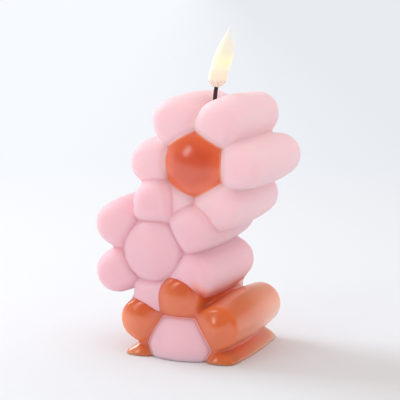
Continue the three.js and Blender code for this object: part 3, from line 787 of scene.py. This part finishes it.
def smooth_through(shares, knots, at):
    """Curve through knots: a cubic on each span, with slopes from the neighbours either side."""
    slope = np.gradient(knots, shares)
    span = np.clip(np.searchsorted(shares, at, side="right") - 1, 0, len(shares) - 2)
    width = shares[span + 1] - shares[span]
    t = (at - shares[span]) / width
    start, stop = knots[span], knots[span + 1]
    return (
        (2 * t**3 - 3 * t**2 + 1) * start + (t**3 - 2 * t**2 + t) * width * slope[span]
        + (3 * t**2 - 2 * t**3) * stop + (t**3 - t**2) * width * slope[span + 1]
    )


def flame_grid():
    """Flame: rings that grow and shrink by a curve of the height and drift sideways to the tip.

    The outline runs from the socket's roof down its wall, over the foot and up to the tip. Dimples,
    a product of two waves and a bell curve of the height, roughen the foot.
    """
    shares, outs, drifts = FLAME_SHARES.T
    even = np.linspace(0, 1, FLAME_ROWS)
    up = ((1 - EVEN_SHARE) * (1 - np.cos(math.pi * even)) / 2 + EVEN_SHARE * even)[:-1]
    out = np.maximum(smooth_through(shares, outs, up), THINNEST_SHARE) * FLAME_RADIUS
    neck = shares[-3]
    tip_shape = 1 - np.clip((up - neck) / (1 - neck), 0, 1) ** TIP_POWER
    out = np.where(up > neck, tip_shape * np.interp(neck, up, out), out)
    drift = np.interp(up, shares, drifts)
    for _ in range(SMOOTH_ROUNDS):
        for line in (drift, out):
            line[1:-1] = (line[:-2] + line[1:-1] + line[2:]) / 3
    round_waves, sway, sway_waves, high_waves = DIMPLE_WAVES
    rough = np.exp(-((up - DIMPLE_PLACE) / DIMPLE_PLACE) ** 2)[:, None] * DIMPLE_DEPTH
    swayed = round_waves * turns(FLAME_COLUMNS) + sway * np.sin(sway_waves * up)[:, None]
    dimples = np.sin(swayed) * np.sin(high_waves * up)[:, None]
    outer = circles(
        LAMP_X + (drift * LEAN_OF_FLAME)[:, None], LAMP_Y,
        (FLAME_FOOT + up * (FLAME_HIGH[2] - FLAME_FOOT))[:, None],
        out[:, None] - rough * (0.5 + 0.5 * dimples), FLAME_COLUMNS,
    )
    roof = LAMP_HIGH[2] + FLAME_GAP
    socket = LAMP_HIGH[0] - LAMP_X + FLAME_GAP
    inner = circles(LAMP_X, LAMP_Y, np.array([[roof], [FLAME_FOOT]]), socket, FLAME_COLUMNS)
    tip = [LAMP_X + drifts[-1] * LEAN_OF_FLAME, LAMP_Y, FLAME_HIGH[2]]
    return closed_rings(np.concatenate([inner, outer]), [LAMP_X, LAMP_Y, roof], tip)


def flame_finish(settings):
    """Milky resin lit from inside: peach at the foot, a yellow heart and a pale, clearer tip.

    up runs from 0 at the foot to 1 at the tip, and side from -1 at the left edge to 1 at the right.
    """
    finish = Finish("flame_resin", Roughness=0.35, IOR=1.45, Emission_Strength=1.0)
    up = (finish.z - FLAME_FOOT) / (FLAME_HIGH[2] - FLAME_FOOT)
    side = (finish.x - LAMP_X - up * LEAN_OF_FLAME) / FLAME_RADIUS
    heart = up.rise(0.22, 0.42) * up.rise(0.64, 0.44) * (0.2 + side.rise(-0.5, 0.5) * 0.8)
    right = side.rise(-0.3, 0.5) * up.rise(0.44, 0.62) * up.rise(0.92, 0.7)
    faded = side.rise(-0.7, 0.1) * up.rise(0.62, 0.9) * 0.75
    faded = (faded + side.rise(0.1, 0.9) * up.rise(0.45, 0.7) * 0.6).limited()
    speck, collar = finish.cells(scale=1250), up.rise(0.13, 0.08)
    glow = finish.layers(
        settings.flame_body,
        (up.rise(0.34, 0.2) * side.rise(-0.95, -0.3), settings.flame_foot),
        (heart, settings.flame_heart),
        (right * 0.85, settings.flame_foot),
        (up.rise(0.72, 1.0), settings.flame_tip),
        (side.rise(-0.5, -0.95), settings.flame_edge),
        (up.rise(0.13, 0.04) * 0.7, settings.flame_socket),
        (speck.rise(0.36, 0.22) * collar, settings.flame_glint),
        (speck.rise(0.42, 0.58) * collar * 0.75, settings.flame_speck),
        (faded * 0.8, settings.flame_fade),
    )
    finish.paint("Emission Color", finish.mix(0.5, glow, BLACK))
    finish.paint("Alpha", 1 - faded * 0.55)
    return finish.dress(finish.mix(0.45, glow, BLACK))


# Lesser colours, and the resistor's rings: place in shares of its length and colour
BLACK = (0, 0, 0, 1)
SCUFF = (0.5, 0.52, 0.55, 1)
UNEVEN_TAN = (0.35, 0.26, 0.14, 1)
EPOXY = ((1, 0.97, 0.85, 1), (1, 0.93, 0.72, 1))
RINGS = {
    0.2: (0.18, 0.05, 0.01, 1), 0.36: (0.01, 0.01, 0.01, 1), 0.52: (0.4, 0.02, 0.01, 1),
    0.8: (0.5, 0.33, 0.05, 1),
}
RING_EDGES = (0.045, 0.035)
# Softened copies: distance of doubles in mm, and angles of flat faces and of edges in degrees
MERGE_DISTANCE = 0.002
FLAT_ANGLE = 1
EDGE_ANGLE = 35


def scaled(colour, share):
    """A colour made darker or lighter."""
    return (*(min(1, channel * share) for channel in colour[:3]), 1.0)


def plastic_finish(name, colour, roughness=0.42):
    """Moulded plastic: a fine spark-eroded grain and a slight unevenness of colour."""
    finish = Finish(name, Roughness=roughness, IOR=1.49)
    cloud, grain = (finish.noise(scale, detail=2) for scale in (60, 4200))
    uneven = finish.mix(cloud, colour, scaled(colour, 0.9))
    return finish.dress(uneven, roughness - 0.06 + cloud * 0.12, grain, 0.00003)


def metal_finish(name, colour, roughness):
    """Bright metal with fine drawn lines and a little tarnish."""
    finish = Finish(name, Metallic=1.0, Roughness=roughness)
    lines = finish.noise(scale=900, place=finish.stretched((1, 8, 1)))
    tarnished = finish.mix(finish.noise(scale=120).rise(0.45, 0.75), colour, scaled(colour, 0.72))
    return finish.dress(tarnished, roughness - 0.08 + lines * 0.16, lines, 0.00002)


def board_finish(settings):
    """Green solder mask over faint copper tracks, with the weave of the glass cloth below."""
    finish = Finish("board", Roughness=0.4)
    weave = finish.node("TexWave", {}, {"Vector": finish.place, "Scale": 900, "Distortion": 1})
    tracks = finish.cells(scale=260, feature="DISTANCE_TO_EDGE").rise(0.06, 0.1)
    mask = finish.mix(tracks * 0.6 + weave * 0.1, scaled(settings.board, 1.8), settings.board)
    return finish.dress(mask, 0.35 + tracks * 0.1, 1 - tracks, 0.00005)


def cell_finish(settings):
    """Printed jacket of a dry cell, a little scuffed."""
    finish = Finish("cell_jacket", Roughness=0.35)
    scuff = finish.noise(scale=300, detail=4)
    scuffed = finish.mix(scuff.rise(0.6, 0.7) * 0.3, settings.jacket, SCUFF)
    return finish.dress(scuffed, 0.3 + scuff * 0.15, scuff, 0.00002)


def sleeve_finish(name, colour):
    """Soft sleeve of a thin wire, slightly uneven."""
    finish = Finish(name, Roughness=0.45)
    uneven = finish.noise(scale=900, detail=2)
    colour = finish.mix(uneven, colour, scaled(colour, 0.7))
    return finish.dress(colour, height=uneven, depth=0.00004)


def resistor_finish(settings):
    """Tan lacquered body with four colour rings along it."""
    finish = Finish("ceramic", Roughness=0.4)
    along = (finish.y - RESISTOR_LOW[1]) / (RESISTOR_HIGH[1] - RESISTOR_LOW[1])
    outer, inner = RING_EDGES
    rings = [
        (band(along, ((at - outer, at - inner), (at + outer, at + inner))), colour)
        for at, colour in RINGS.items()
    ]
    tan = (finish.noise(scale=800, detail=2) * 0.3, UNEVEN_TAN)
    return finish.dress(finish.layers(settings.ceramic, tan, *rings))


def lamp_finish():
    """Clear epoxy of the small lamp, faintly yellow."""
    finish = Finish("lamp_resin", Roughness=0.1, IOR=1.5, Transmission_Weight=0.7)
    return finish.dress(finish.mix(finish.noise(scale=700, detail=2), *EPOXY))


def softened_copy(node, name, width, finish):
    """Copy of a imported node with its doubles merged, flat faces joined and its edges rounded."""
    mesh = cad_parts[node].data.copy()
    mesh.name = name
    shape = bmesh.new()
    shape.from_mesh(mesh)
    bmesh.ops.remove_doubles(shape, verts=shape.verts, dist=MERGE_DISTANCE * MM)
    bmesh.ops.dissolve_limit(
        shape, angle_limit=math.radians(FLAT_ANGLE), verts=shape.verts, edges=shape.edges,
    )
    shape.to_mesh(mesh)
    shape.free()
    piece = bpy.data.objects.new(name, mesh)
    bpy.context.scene.collection.objects.link(piece)
    bevel = piece.modifiers.new("soft edges", "BEVEL")
    bevel.width, bevel.segments, bevel.limit_method = width * MM, 2, "ANGLE"
    bevel.angle_limit = math.radians(EDGE_ANGLE)
    settle_modifiers(piece)
    shade(piece, finish, PLASTIC_ANGLE)
    return piece


def swatch(name, description, *screen, light=None):
    """A colour that the panel shows, given in 0 to 255 screen values or as linear light."""
    return FloatVectorProperty(
        name=name, description=description, default=light or tint(*screen), size=4,
        subtype="COLOR", min=0, max=1,
    )


class WaxSettings(bpy.types.PropertyGroup):
    """Colours of the wax and its lacquer, and of the light and shade painted on them."""

    # The wax pink as a shaded lower copy and a lit upper copy, painted as light falling from above
    pink_shaded_low: swatch("Lower pink", "Wax of the lower flowers", 238, 196, 207)
    pink_lit_high: swatch("Upper pink", "Wax of the top flower", 246, 209, 217)
    # Painted light along the top flower's creases
    pink_painted_light: swatch("Pale pink", "Wax along the top flower's creases", 255, 224, 227)
    # Painted shade along the creases and just inside the bare rim
    pink_crease_shade: swatch("Crease pink", "Wax along the creases", 234, 158, 173)
    # Bare wax line, painted lighter as a highlight where its ridge catches the light
    pink_bare_rim_highlight: swatch("Rim pink", "Bare line round the lowest middle", 255, 196, 188)
    orange: swatch("Orange", "Lacquer on the petals", 220, 112, 56)
    orange_deep: swatch("Deep orange", "Lacquer on the dome", 217, 88, 46)
    # Dense lacquer of the spray near the petals, and painted shade near the creases
    orange_dense_and_shade: swatch("Pooled orange", "Lacquer that ran into a crease", 214, 80, 40)
    # Painted shade along the lacquer's upper borders
    orange_border_shade: swatch("Edge orange", "Lacquer along its upper borders", 168, 66, 36)
    # Painted light in the grooves and on the feet
    orange_groove_light: swatch("Valley orange", "Lacquer in the grooves", 252, 104, 58)
    # Painted highlight on the dome's rounded rim
    orange_rim_highlight: swatch("Rim orange", "Thin lacquer along the dome's border", 255, 166, 120)
    # Bright lacquer round the dome's rim, and a painted highlight along the petals' ridges
    orange_bright_ridge_highlight: swatch("Bright orange", "Lacquer round the dome's rim", 238, 112, 66)
    # Lacquer that fades into the wax, and painted floor light on the low faces
    orange_thin_and_floor_lit: swatch("Thin orange", "Lacquer that fades into the wax", 243, 155, 114)


class FlameSettings(bpy.types.PropertyGroup):
    """Colours of the wick and the flame."""

    soot: swatch("Soot", "Blackened yarn", 46, 32, 36)
    soot_light: swatch("Light soot", "Raised strands of the yarn", 78, 58, 62)
    flame_foot: swatch("Flame peach", "Warm parts of the flame", 250, 236, 212)
    flame_body: swatch("Flame body", "Cream body of the flame", 254, 249, 226)
    flame_heart: swatch("Flame heart", "Yellow heart of the flame", 255, 253, 208)
    flame_tip: swatch("Flame tip", "Pale tip of the flame", 245, 241, 230)
    flame_edge: swatch("Flame edge", "White edge of the flame", 255, 254, 240)
    flame_socket: swatch("Flame collar", "Frosted foot of the flame", 243, 233, 220)
    flame_fade: swatch("Flame veil", "Clear side of the tip", 236, 238, 238)
    flame_glint: swatch("Flame glint", "Bright grains of the frosted foot", light=(1, 1, 0.98, 1))
    flame_speck: swatch("Flame speck", "Tan specks in the frosted foot", 216, 192, 166)


class UnitSettings(bpy.types.PropertyGroup):
    """Colours of the battery light in the base."""

    edge: FloatProperty(
        name="Edge rounding", description="Rounded edge of the moulded pieces", default=0.00022,
        min=0.0, unit="LENGTH", subtype="DISTANCE",
    )
    white: swatch("White plastic", "Tray, cover and door", 242, 239, 233)
    black: swatch("Black plastic", "Knob, chip and capacitor", 38, 36, 36)
    nickel: swatch("Nickel", "Contacts", 214, 210, 200)
    steel: swatch("Steel", "Springs, screws and switch case", 200, 200, 196)
    copper: swatch("Copper", "Enamelled lead wires", 190, 118, 62)
    board: swatch("Board", "Solder mask of the circuit board", 31, 107, 60)
    ceramic: swatch("Ceramic", "Body of the resistor", 205, 180, 138)
    jacket: swatch("Jacket", "Sleeve of the cells", 74, 111, 143)
    red: swatch("Red sleeve", "Positive wire", 181, 40, 31)
    dark: swatch("Black sleeve", "Negative wire", 32, 32, 34)


class StageSettings(bpy.types.PropertyGroup):
    """Colours and light of the studio, with painted shade on the floor and backdrop."""

    floor_left: swatch("Floor, left", "Floor at the window side", 247, 250, 255)
    # Floor and backdrop painted darker away from the window, as its light falls off
    floor_shaded_right: swatch("Floor, right", "Floor away from the window", 232, 235, 240)
    ceiling: swatch("Ceiling", "Room above, in reflections", 124, 122, 122)
    dusk: swatch("Dark room", "Room behind the camera, in reflections", 72, 70, 70)
    # Dims the whole paper, and more in front as painted shade
    floor_dim_and_shade: swatch("Floor, dull", "Tone that dims the paper", 0, 100, 100)
    # Painted shadow on the floor in front, at the right
    floor_near_shadow: swatch("Floor, near", "Floor in front, by the shadow", 231, 231, 231)
    room: swatch("Room, left", "Light from the window side", light=(0.85, 0.785, 0.755, 1))
    room_right: swatch("Room, right", "Light from opposite", light=(0.95, 0.885, 0.855, 1))
    window: FloatVectorProperty(
        name="Window", description="Light of the window", default=(0.8, 0.94, 1.0), subtype="COLOR",
        min=0, max=1,
    )
    fill: FloatProperty(name="Fill", description="Even light of the room", default=1.07, min=0)
    key: FloatProperty(name="Key", description="Low light by the window", default=1.35, min=0)
    front: FloatProperty(name="Front", description="Soft lamp near the camera", default=0.7, min=0)


class CandleSettings(bpy.types.PropertyGroup):
    """All settings of the flower candle."""

    wax: PointerProperty(type=WaxSettings)
    flame: PointerProperty(type=FlameSettings)
    unit: PointerProperty(type=UnitSettings)
    stage: PointerProperty(type=StageSettings)


class CANDLE_OT_wax(bpy.types.Operator):
    """Make the three wax flowers round the light unit"""

    bl_idname = "candle.wax"
    bl_label = "Wax flowers"

    def execute(self, context):
        margin = MARGIN_CELLS * WAX_CELL
        low = np.array([*WAX_LOW[:2], 0]) - margin
        points, quads = net_surface(wax_field, low, WAX_HIGH + margin, WAX_CELL)
        finish = wax_finish(context.scene.candle.wax)
        piece = put_mesh("wax_flowers", points, [quads], finish)
        recess, pocket = (
            box_corners([*(inner_low[:2] - gap), -CUT_OVERRUN], [*(inner_high[:2] + gap), top])
            for inner_low, inner_high, gap, top in (
                (TRAY_LOW, TRAY_HIGH, RECESS_GAP, DOOR_TOP + RECESS_GAP),
                (COVER_LOW, COVER_HIGH, POCKET_GAP, SCREW_TOP + 2 * POCKET_GAP),
            )
        )
        channel = upright_bar(WICK_RADIUS + CHANNEL_GAP, *WICK_AXIS, SCREW_TOP, WICK_HIGH[2])
        cut_out(piece, [recess, pocket, channel])
        mark_wax(piece.data)
        shade(piece, finish, WAX_ANGLE)
        return hand_over(piece, "candle", "wax", "wax_body")


class CANDLE_OT_wick(bpy.types.Operator):
    """Make the plaited wick that carries the lamp's wires"""

    bl_idname = "candle.wick"
    bl_label = "Wick"

    def execute(self, context):
        finish = wick_finish(context.scene.candle.flame)
        piece = put_mesh("wick", *wick_grid(), finish, FLAME_ANGLE)
        return hand_over(piece, "candle", "wick", "wick_sleeve")


class CANDLE_OT_flame(bpy.types.Operator):
    """Make the flame of milky resin over the lamp"""

    bl_idname = "candle.flame"
    bl_label = "Flame"

    def execute(self, context):
        finish = flame_finish(context.scene.candle.flame)
        piece = put_mesh("flame", *flame_grid(), finish, FLAME_ANGLE)
        return hand_over(piece, "candle", "flame_resin", "flame_shell")


class CANDLE_OT_plastics(bpy.types.Operator):
    """Round the edges of the moulded tray, cover, door and knob"""

    bl_idname = "candle.plastics"
    bl_label = "Moulded pieces"

    def execute(self, context):
        unit = context.scene.candle.unit
        white = plastic_finish("white_plastic", unit.white)
        black = plastic_finish("black_plastic", unit.black, 0.5)
        for node, name, body, slot, finish in (
            ("battery_tray", "tray", "candle", "white_plastic", white),
            ("tray_cover", "cover", "candle", "white_plastic", white),
            ("battery_door", "door", "door", "white_plastic", white),
            ("switch_knob", "knob", "knob", "black_plastic", black),
        ):
            hand_over(softened_copy(node, name, unit.edge / MM, finish), body, slot, node)
        for node in ("flicker_chip", "capacitor"):
            shade_node(node, black)
        return {"FINISHED"}


def shade_node(node, finish):
    """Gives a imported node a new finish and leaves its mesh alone."""
    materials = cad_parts[node].data.materials
    materials.clear()
    materials.append(finish.material)


class CANDLE_OT_light_unit(bpy.types.Operator):
    """Give the cells, contacts, wires, board and lamp their finishes"""

    bl_idname = "candle.light_unit"
    bl_label = "Light unit"

    def execute(self, context):
        unit = context.scene.candle.unit
        finishes = {
            metal_finish("nickel", unit.nickel, 0.3): (
                "bridge_contact", "positive_contact", "negative_contact",
            ),
            metal_finish("spring_steel", unit.steel, 0.32): (
                "bridge_spring", "negative_spring", "cover_screw_1", "cover_screw_2", "switch_case",
            ),
            metal_finish("copper", unit.copper, 0.35): ("lead_wire_front", "lead_wire_rear"),
            cell_finish(unit): ("cell_left", "cell_right"),
            board_finish(unit): ("circuit_board",),
            resistor_finish(unit): ("resistor",),
            sleeve_finish("red_sleeve", unit.red): ("positive_wire",),
            sleeve_finish("black_sleeve", unit.dark): ("negative_wire",),
            lamp_finish(): ("lamp",),
        }
        for finish, nodes in finishes.items():
            for node in nodes:
                shade_node(node, finish)
        return {"FINISHED"}


# Studio, in metres and degrees: floor, camera, low light from the window side, lamp by the camera
FLOOR_RADIUS = 30.0
FLOOR_RINGS = 40
FLOOR_COLUMNS = 64
CAMERA_AZIMUTH = math.radians(23.563)
CAMERA_ELEVATION = math.radians(9.333)
CAMERA_DISTANCE = 0.8228
CAMERA_TARGET = Vector((0.002921, -0.004508, 0.08831))
CAMERA_LENS = 124.93
CAMERA_NEAR = 0.01
KEY_DIRECTION = Vector((-0.988, 0.164, 0.75))
KEY_SPREAD = 26.0
FRONT_PLACE = Vector((-0.526, -0.903, 0.457))
FRONT_LENGTH = 0.32
FRONT_WIDTH = 0.2
FRONT_SLANT = 48.0
# Directions as the camera sees them
RIGHT = (math.cos(CAMERA_AZIMUTH), math.sin(CAMERA_AZIMUTH), 0)
AWAY = (-RIGHT[1], RIGHT[0], 0)
UP = (0, 0, 1)
# Floor: places in metres between which its colour changes, and shares of what is laid over it. Its
# colour is painted darker away from the window, and in front as painted shade and shadow
WINDOW_FALLOFF_ACROSS = (-0.25, 0.35)
FRONT_SHADE_BAND = (0.08, -0.2)
FRONT_SHADOW_ACROSS = (-0.1, 0.16)
FRONT_SHADOW_SHARE = 0.7
FLOOR_DULLNESS = 0.1
FRONT_SHADE = 0.06
OWN_COLOUR = (0.25, 0.9)
DUSK_AWAY = (-0.2, -1.2)
DUSK_ON_FLOOR = 0.84
# Room: parts of a direction's length between which its colour changes
# The backdrop is painted darker away from the window, as painted shade
BACKDROP_FALLOFF_ACROSS = (-0.1, 0.1)
CEILING_RISE = (0.0, 0.45)
DUSK_BEHIND = (0.1, -0.5)
DUSK_RISE = (-0.15, 0.05)


def floor_grid():
    """Disc of rings whose radii grow with the cube of their number, with a fan in the middle."""
    radius = FLOOR_RADIUS / MM * np.linspace(0, 1, FLOOR_RINGS)[1:, None] ** 3
    points = np.concatenate([circles(0, 0, 0, radius, FLOOR_COLUMNS).reshape(-1, 3), [[0, 0, 0]]])
    return points, [
        ring_faces(len(radius), FLOOR_COLUMNS)[:, ::-1],
        pole_faces(0, FLOOR_COLUMNS, len(points) - 1, True),
    ]


def floor_finish(settings):
    """Pale paper: it takes the shadow near the candle, and far off it is seen at its own colour. Its
    colour is painted darker away from the window, and in front as painted shade.

    Gloss sees the far paper on the camera's side as dark as the room behind it.
    """
    finish = Finish("floor", Roughness=0.9, Specular_IOR_Level=0.1)
    across, away = finish.along(finish.place, RIGHT), finish.along(finish.place, AWAY)
    # painted shade in front of the candle
    near = away.rise(*FRONT_SHADE_BAND)
    colour = finish.layers(
        settings.floor_left,
        # painted darker away from the window
        (across.rise(*WINDOW_FALLOFF_ACROSS), settings.floor_shaded_right),
        # painted shadow in front, at the right
        (near * across.rise(*FRONT_SHADOW_ACROSS) * FRONT_SHADOW_SHARE, settings.floor_near_shadow),
    )
    # the paper dimmed all over, and more in front as painted shade
    dimming_and_shade = FLOOR_DULLNESS + near * FRONT_SHADE
    finish.paint("Base Color", finish.mix(dimming_and_shade, colour, settings.floor_dim_and_shade))
    distance = finish.node("VectorMath", {"operation": "LENGTH"}, {0: finish.place}, "Value")
    direct, gloss = finish.seen()
    glow, dusk = (
        finish.node("Emission", {}, {"Color": seen}) for seen in (colour, settings.dusk)
    )
    seen = finish.blend((direct + gloss) * distance.rise(*OWN_COLOUR), finish.surface, glow)
    finish.show(finish.blend(away.rise(*DUSK_AWAY) * gloss * DUSK_ON_FLOOR, seen, dusk))
    return finish


def aimed(direction, slant=0):
    """Turn that points a lamp or camera, which looks down its own -Z, along a direction.

    The slant, in degrees, turns it round that direction.
    """
    twist = Quaternion(UP, math.radians(slant))
    return (direction.to_track_quat("-Z", "Y") @ twist).to_euler()


def place_camera(scene):
    """The camera of the photograph, aimed at the middle of the candle."""
    camera = bpy.data.objects.new("camera", bpy.data.cameras.new("camera"))
    scene.collection.objects.link(camera)
    scene.camera = camera
    camera.data.lens = CAMERA_LENS
    camera.data.clip_start, camera.data.clip_end = CAMERA_NEAR, 2 * FLOOR_RADIUS
    level = math.cos(CAMERA_ELEVATION)
    back = Vector((-AWAY[0] * level, -AWAY[1] * level, math.sin(CAMERA_ELEVATION)))
    camera.location = CAMERA_TARGET + back * CAMERA_DISTANCE
    camera.rotation_euler = aimed(-back)


def light_lamps(scene, settings):
    """A low soft light from the window side, and a small soft lamp beside the camera."""
    key = bpy.data.lights.new("window", "SUN")
    key.energy, key.angle, key.color = settings.key, math.radians(KEY_SPREAD), settings.window
    front = bpy.data.lights.new("front", "AREA")
    front.shape = "RECTANGLE"
    front.energy, front.size, front.size_y = settings.front, FRONT_LENGTH, FRONT_WIDTH
    for lamp, place, slant in ((key, KEY_DIRECTION, 0), (front, FRONT_PLACE, FRONT_SLANT)):
        holder = bpy.data.objects.new(lamp.name, lamp)
        holder.location, holder.rotation_euler = place, aimed(-place, slant)
        scene.collection.objects.link(holder)


def set_world(scene, settings):
    """Soft light; camera and glass see a pale backdrop, painted darker away from the window, and
    gloss a darker room round it.
    """
    scene.world = bpy.data.worlds.new("studio")
    scene.world.use_nodes = True
    graph = Graph(scene.world.node_tree, "World")
    direction = graph.node("TexCoord", output="Generated")
    side, away, height = (graph.along(direction, way) for way in (RIGHT, AWAY, UP))
    direct, gloss = graph.seen()
    light = graph.mix(side.rise(-1, 1), settings.room, settings.room_right)
    paper = graph.layers(
        settings.floor_left,
        # painted darker away from the window
        (side.rise(*BACKDROP_FALLOFF_ACROSS), settings.floor_shaded_right),
        (height.rise(*CEILING_RISE) * gloss, settings.ceiling),
        (away.rise(*DUSK_BEHIND) * height.rise(*DUSK_RISE) * gloss, settings.dusk),
    )
    room = graph.node("Background", {}, {"Color": light, "Strength": settings.fill})
    backdrop = graph.node("Background", {}, {"Color": paper})
    graph.show(graph.blend(direct + gloss, room, backdrop))


class CANDLE_OT_stage(bpy.types.Operator):
    """Set the floor, the lamps, the world and the camera"""

    bl_idname = "candle.stage"
    bl_label = "Stage"

    def execute(self, context):
        scene, settings = context.scene, context.scene.candle.stage
        put_mesh("floor", *floor_grid(), floor_finish(settings))
        light_lamps(scene, settings)
        set_world(scene, settings)
        place_camera(scene)
        scene.view_settings.view_transform = "Standard"
        return {"FINISHED"}


class CANDLE_PT_panel(bpy.types.Panel):
    """Lists the candle's settings and the steps that make it"""

    bl_idname = "CANDLE_PT_panel"
    bl_label = "Flower Candle"
    bl_space_type = "VIEW_3D"
    bl_region_type = "UI"
    bl_category = "Candle"

    def draw(self, context):
        settings = context.scene.candle
        for group in (settings.wax, settings.flame, settings.unit, settings.stage):
            box = self.layout.box()
            for name in group.__annotations__:
                box.prop(group, name)
        for step in STEPS:
            self.layout.operator(step.bl_idname)


STEPS = (
    CANDLE_OT_wax, CANDLE_OT_wick, CANDLE_OT_flame, CANDLE_OT_plastics, CANDLE_OT_light_unit,
    CANDLE_OT_stage,
)
CLASSES = (
    WaxSettings, FlameSettings, UnitSettings, StageSettings, CandleSettings, *STEPS,
    CANDLE_PT_panel,
)


def register():
    for cls in CLASSES:
        bpy.utils.register_class(cls)
    bpy.types.Scene.candle = PointerProperty(type=CandleSettings)


def unregister():
    del bpy.types.Scene.candle
    for cls in reversed(CLASSES):
        bpy.utils.unregister_class(cls)


def main():
    register()
    bpy.ops.candle.wax()
    bpy.ops.candle.wick()
    bpy.ops.candle.flame()
    bpy.ops.candle.plastics()
    bpy.ops.candle.light_unit()
    bpy.ops.candle.stage()


if __name__ == "__main__":
    main()
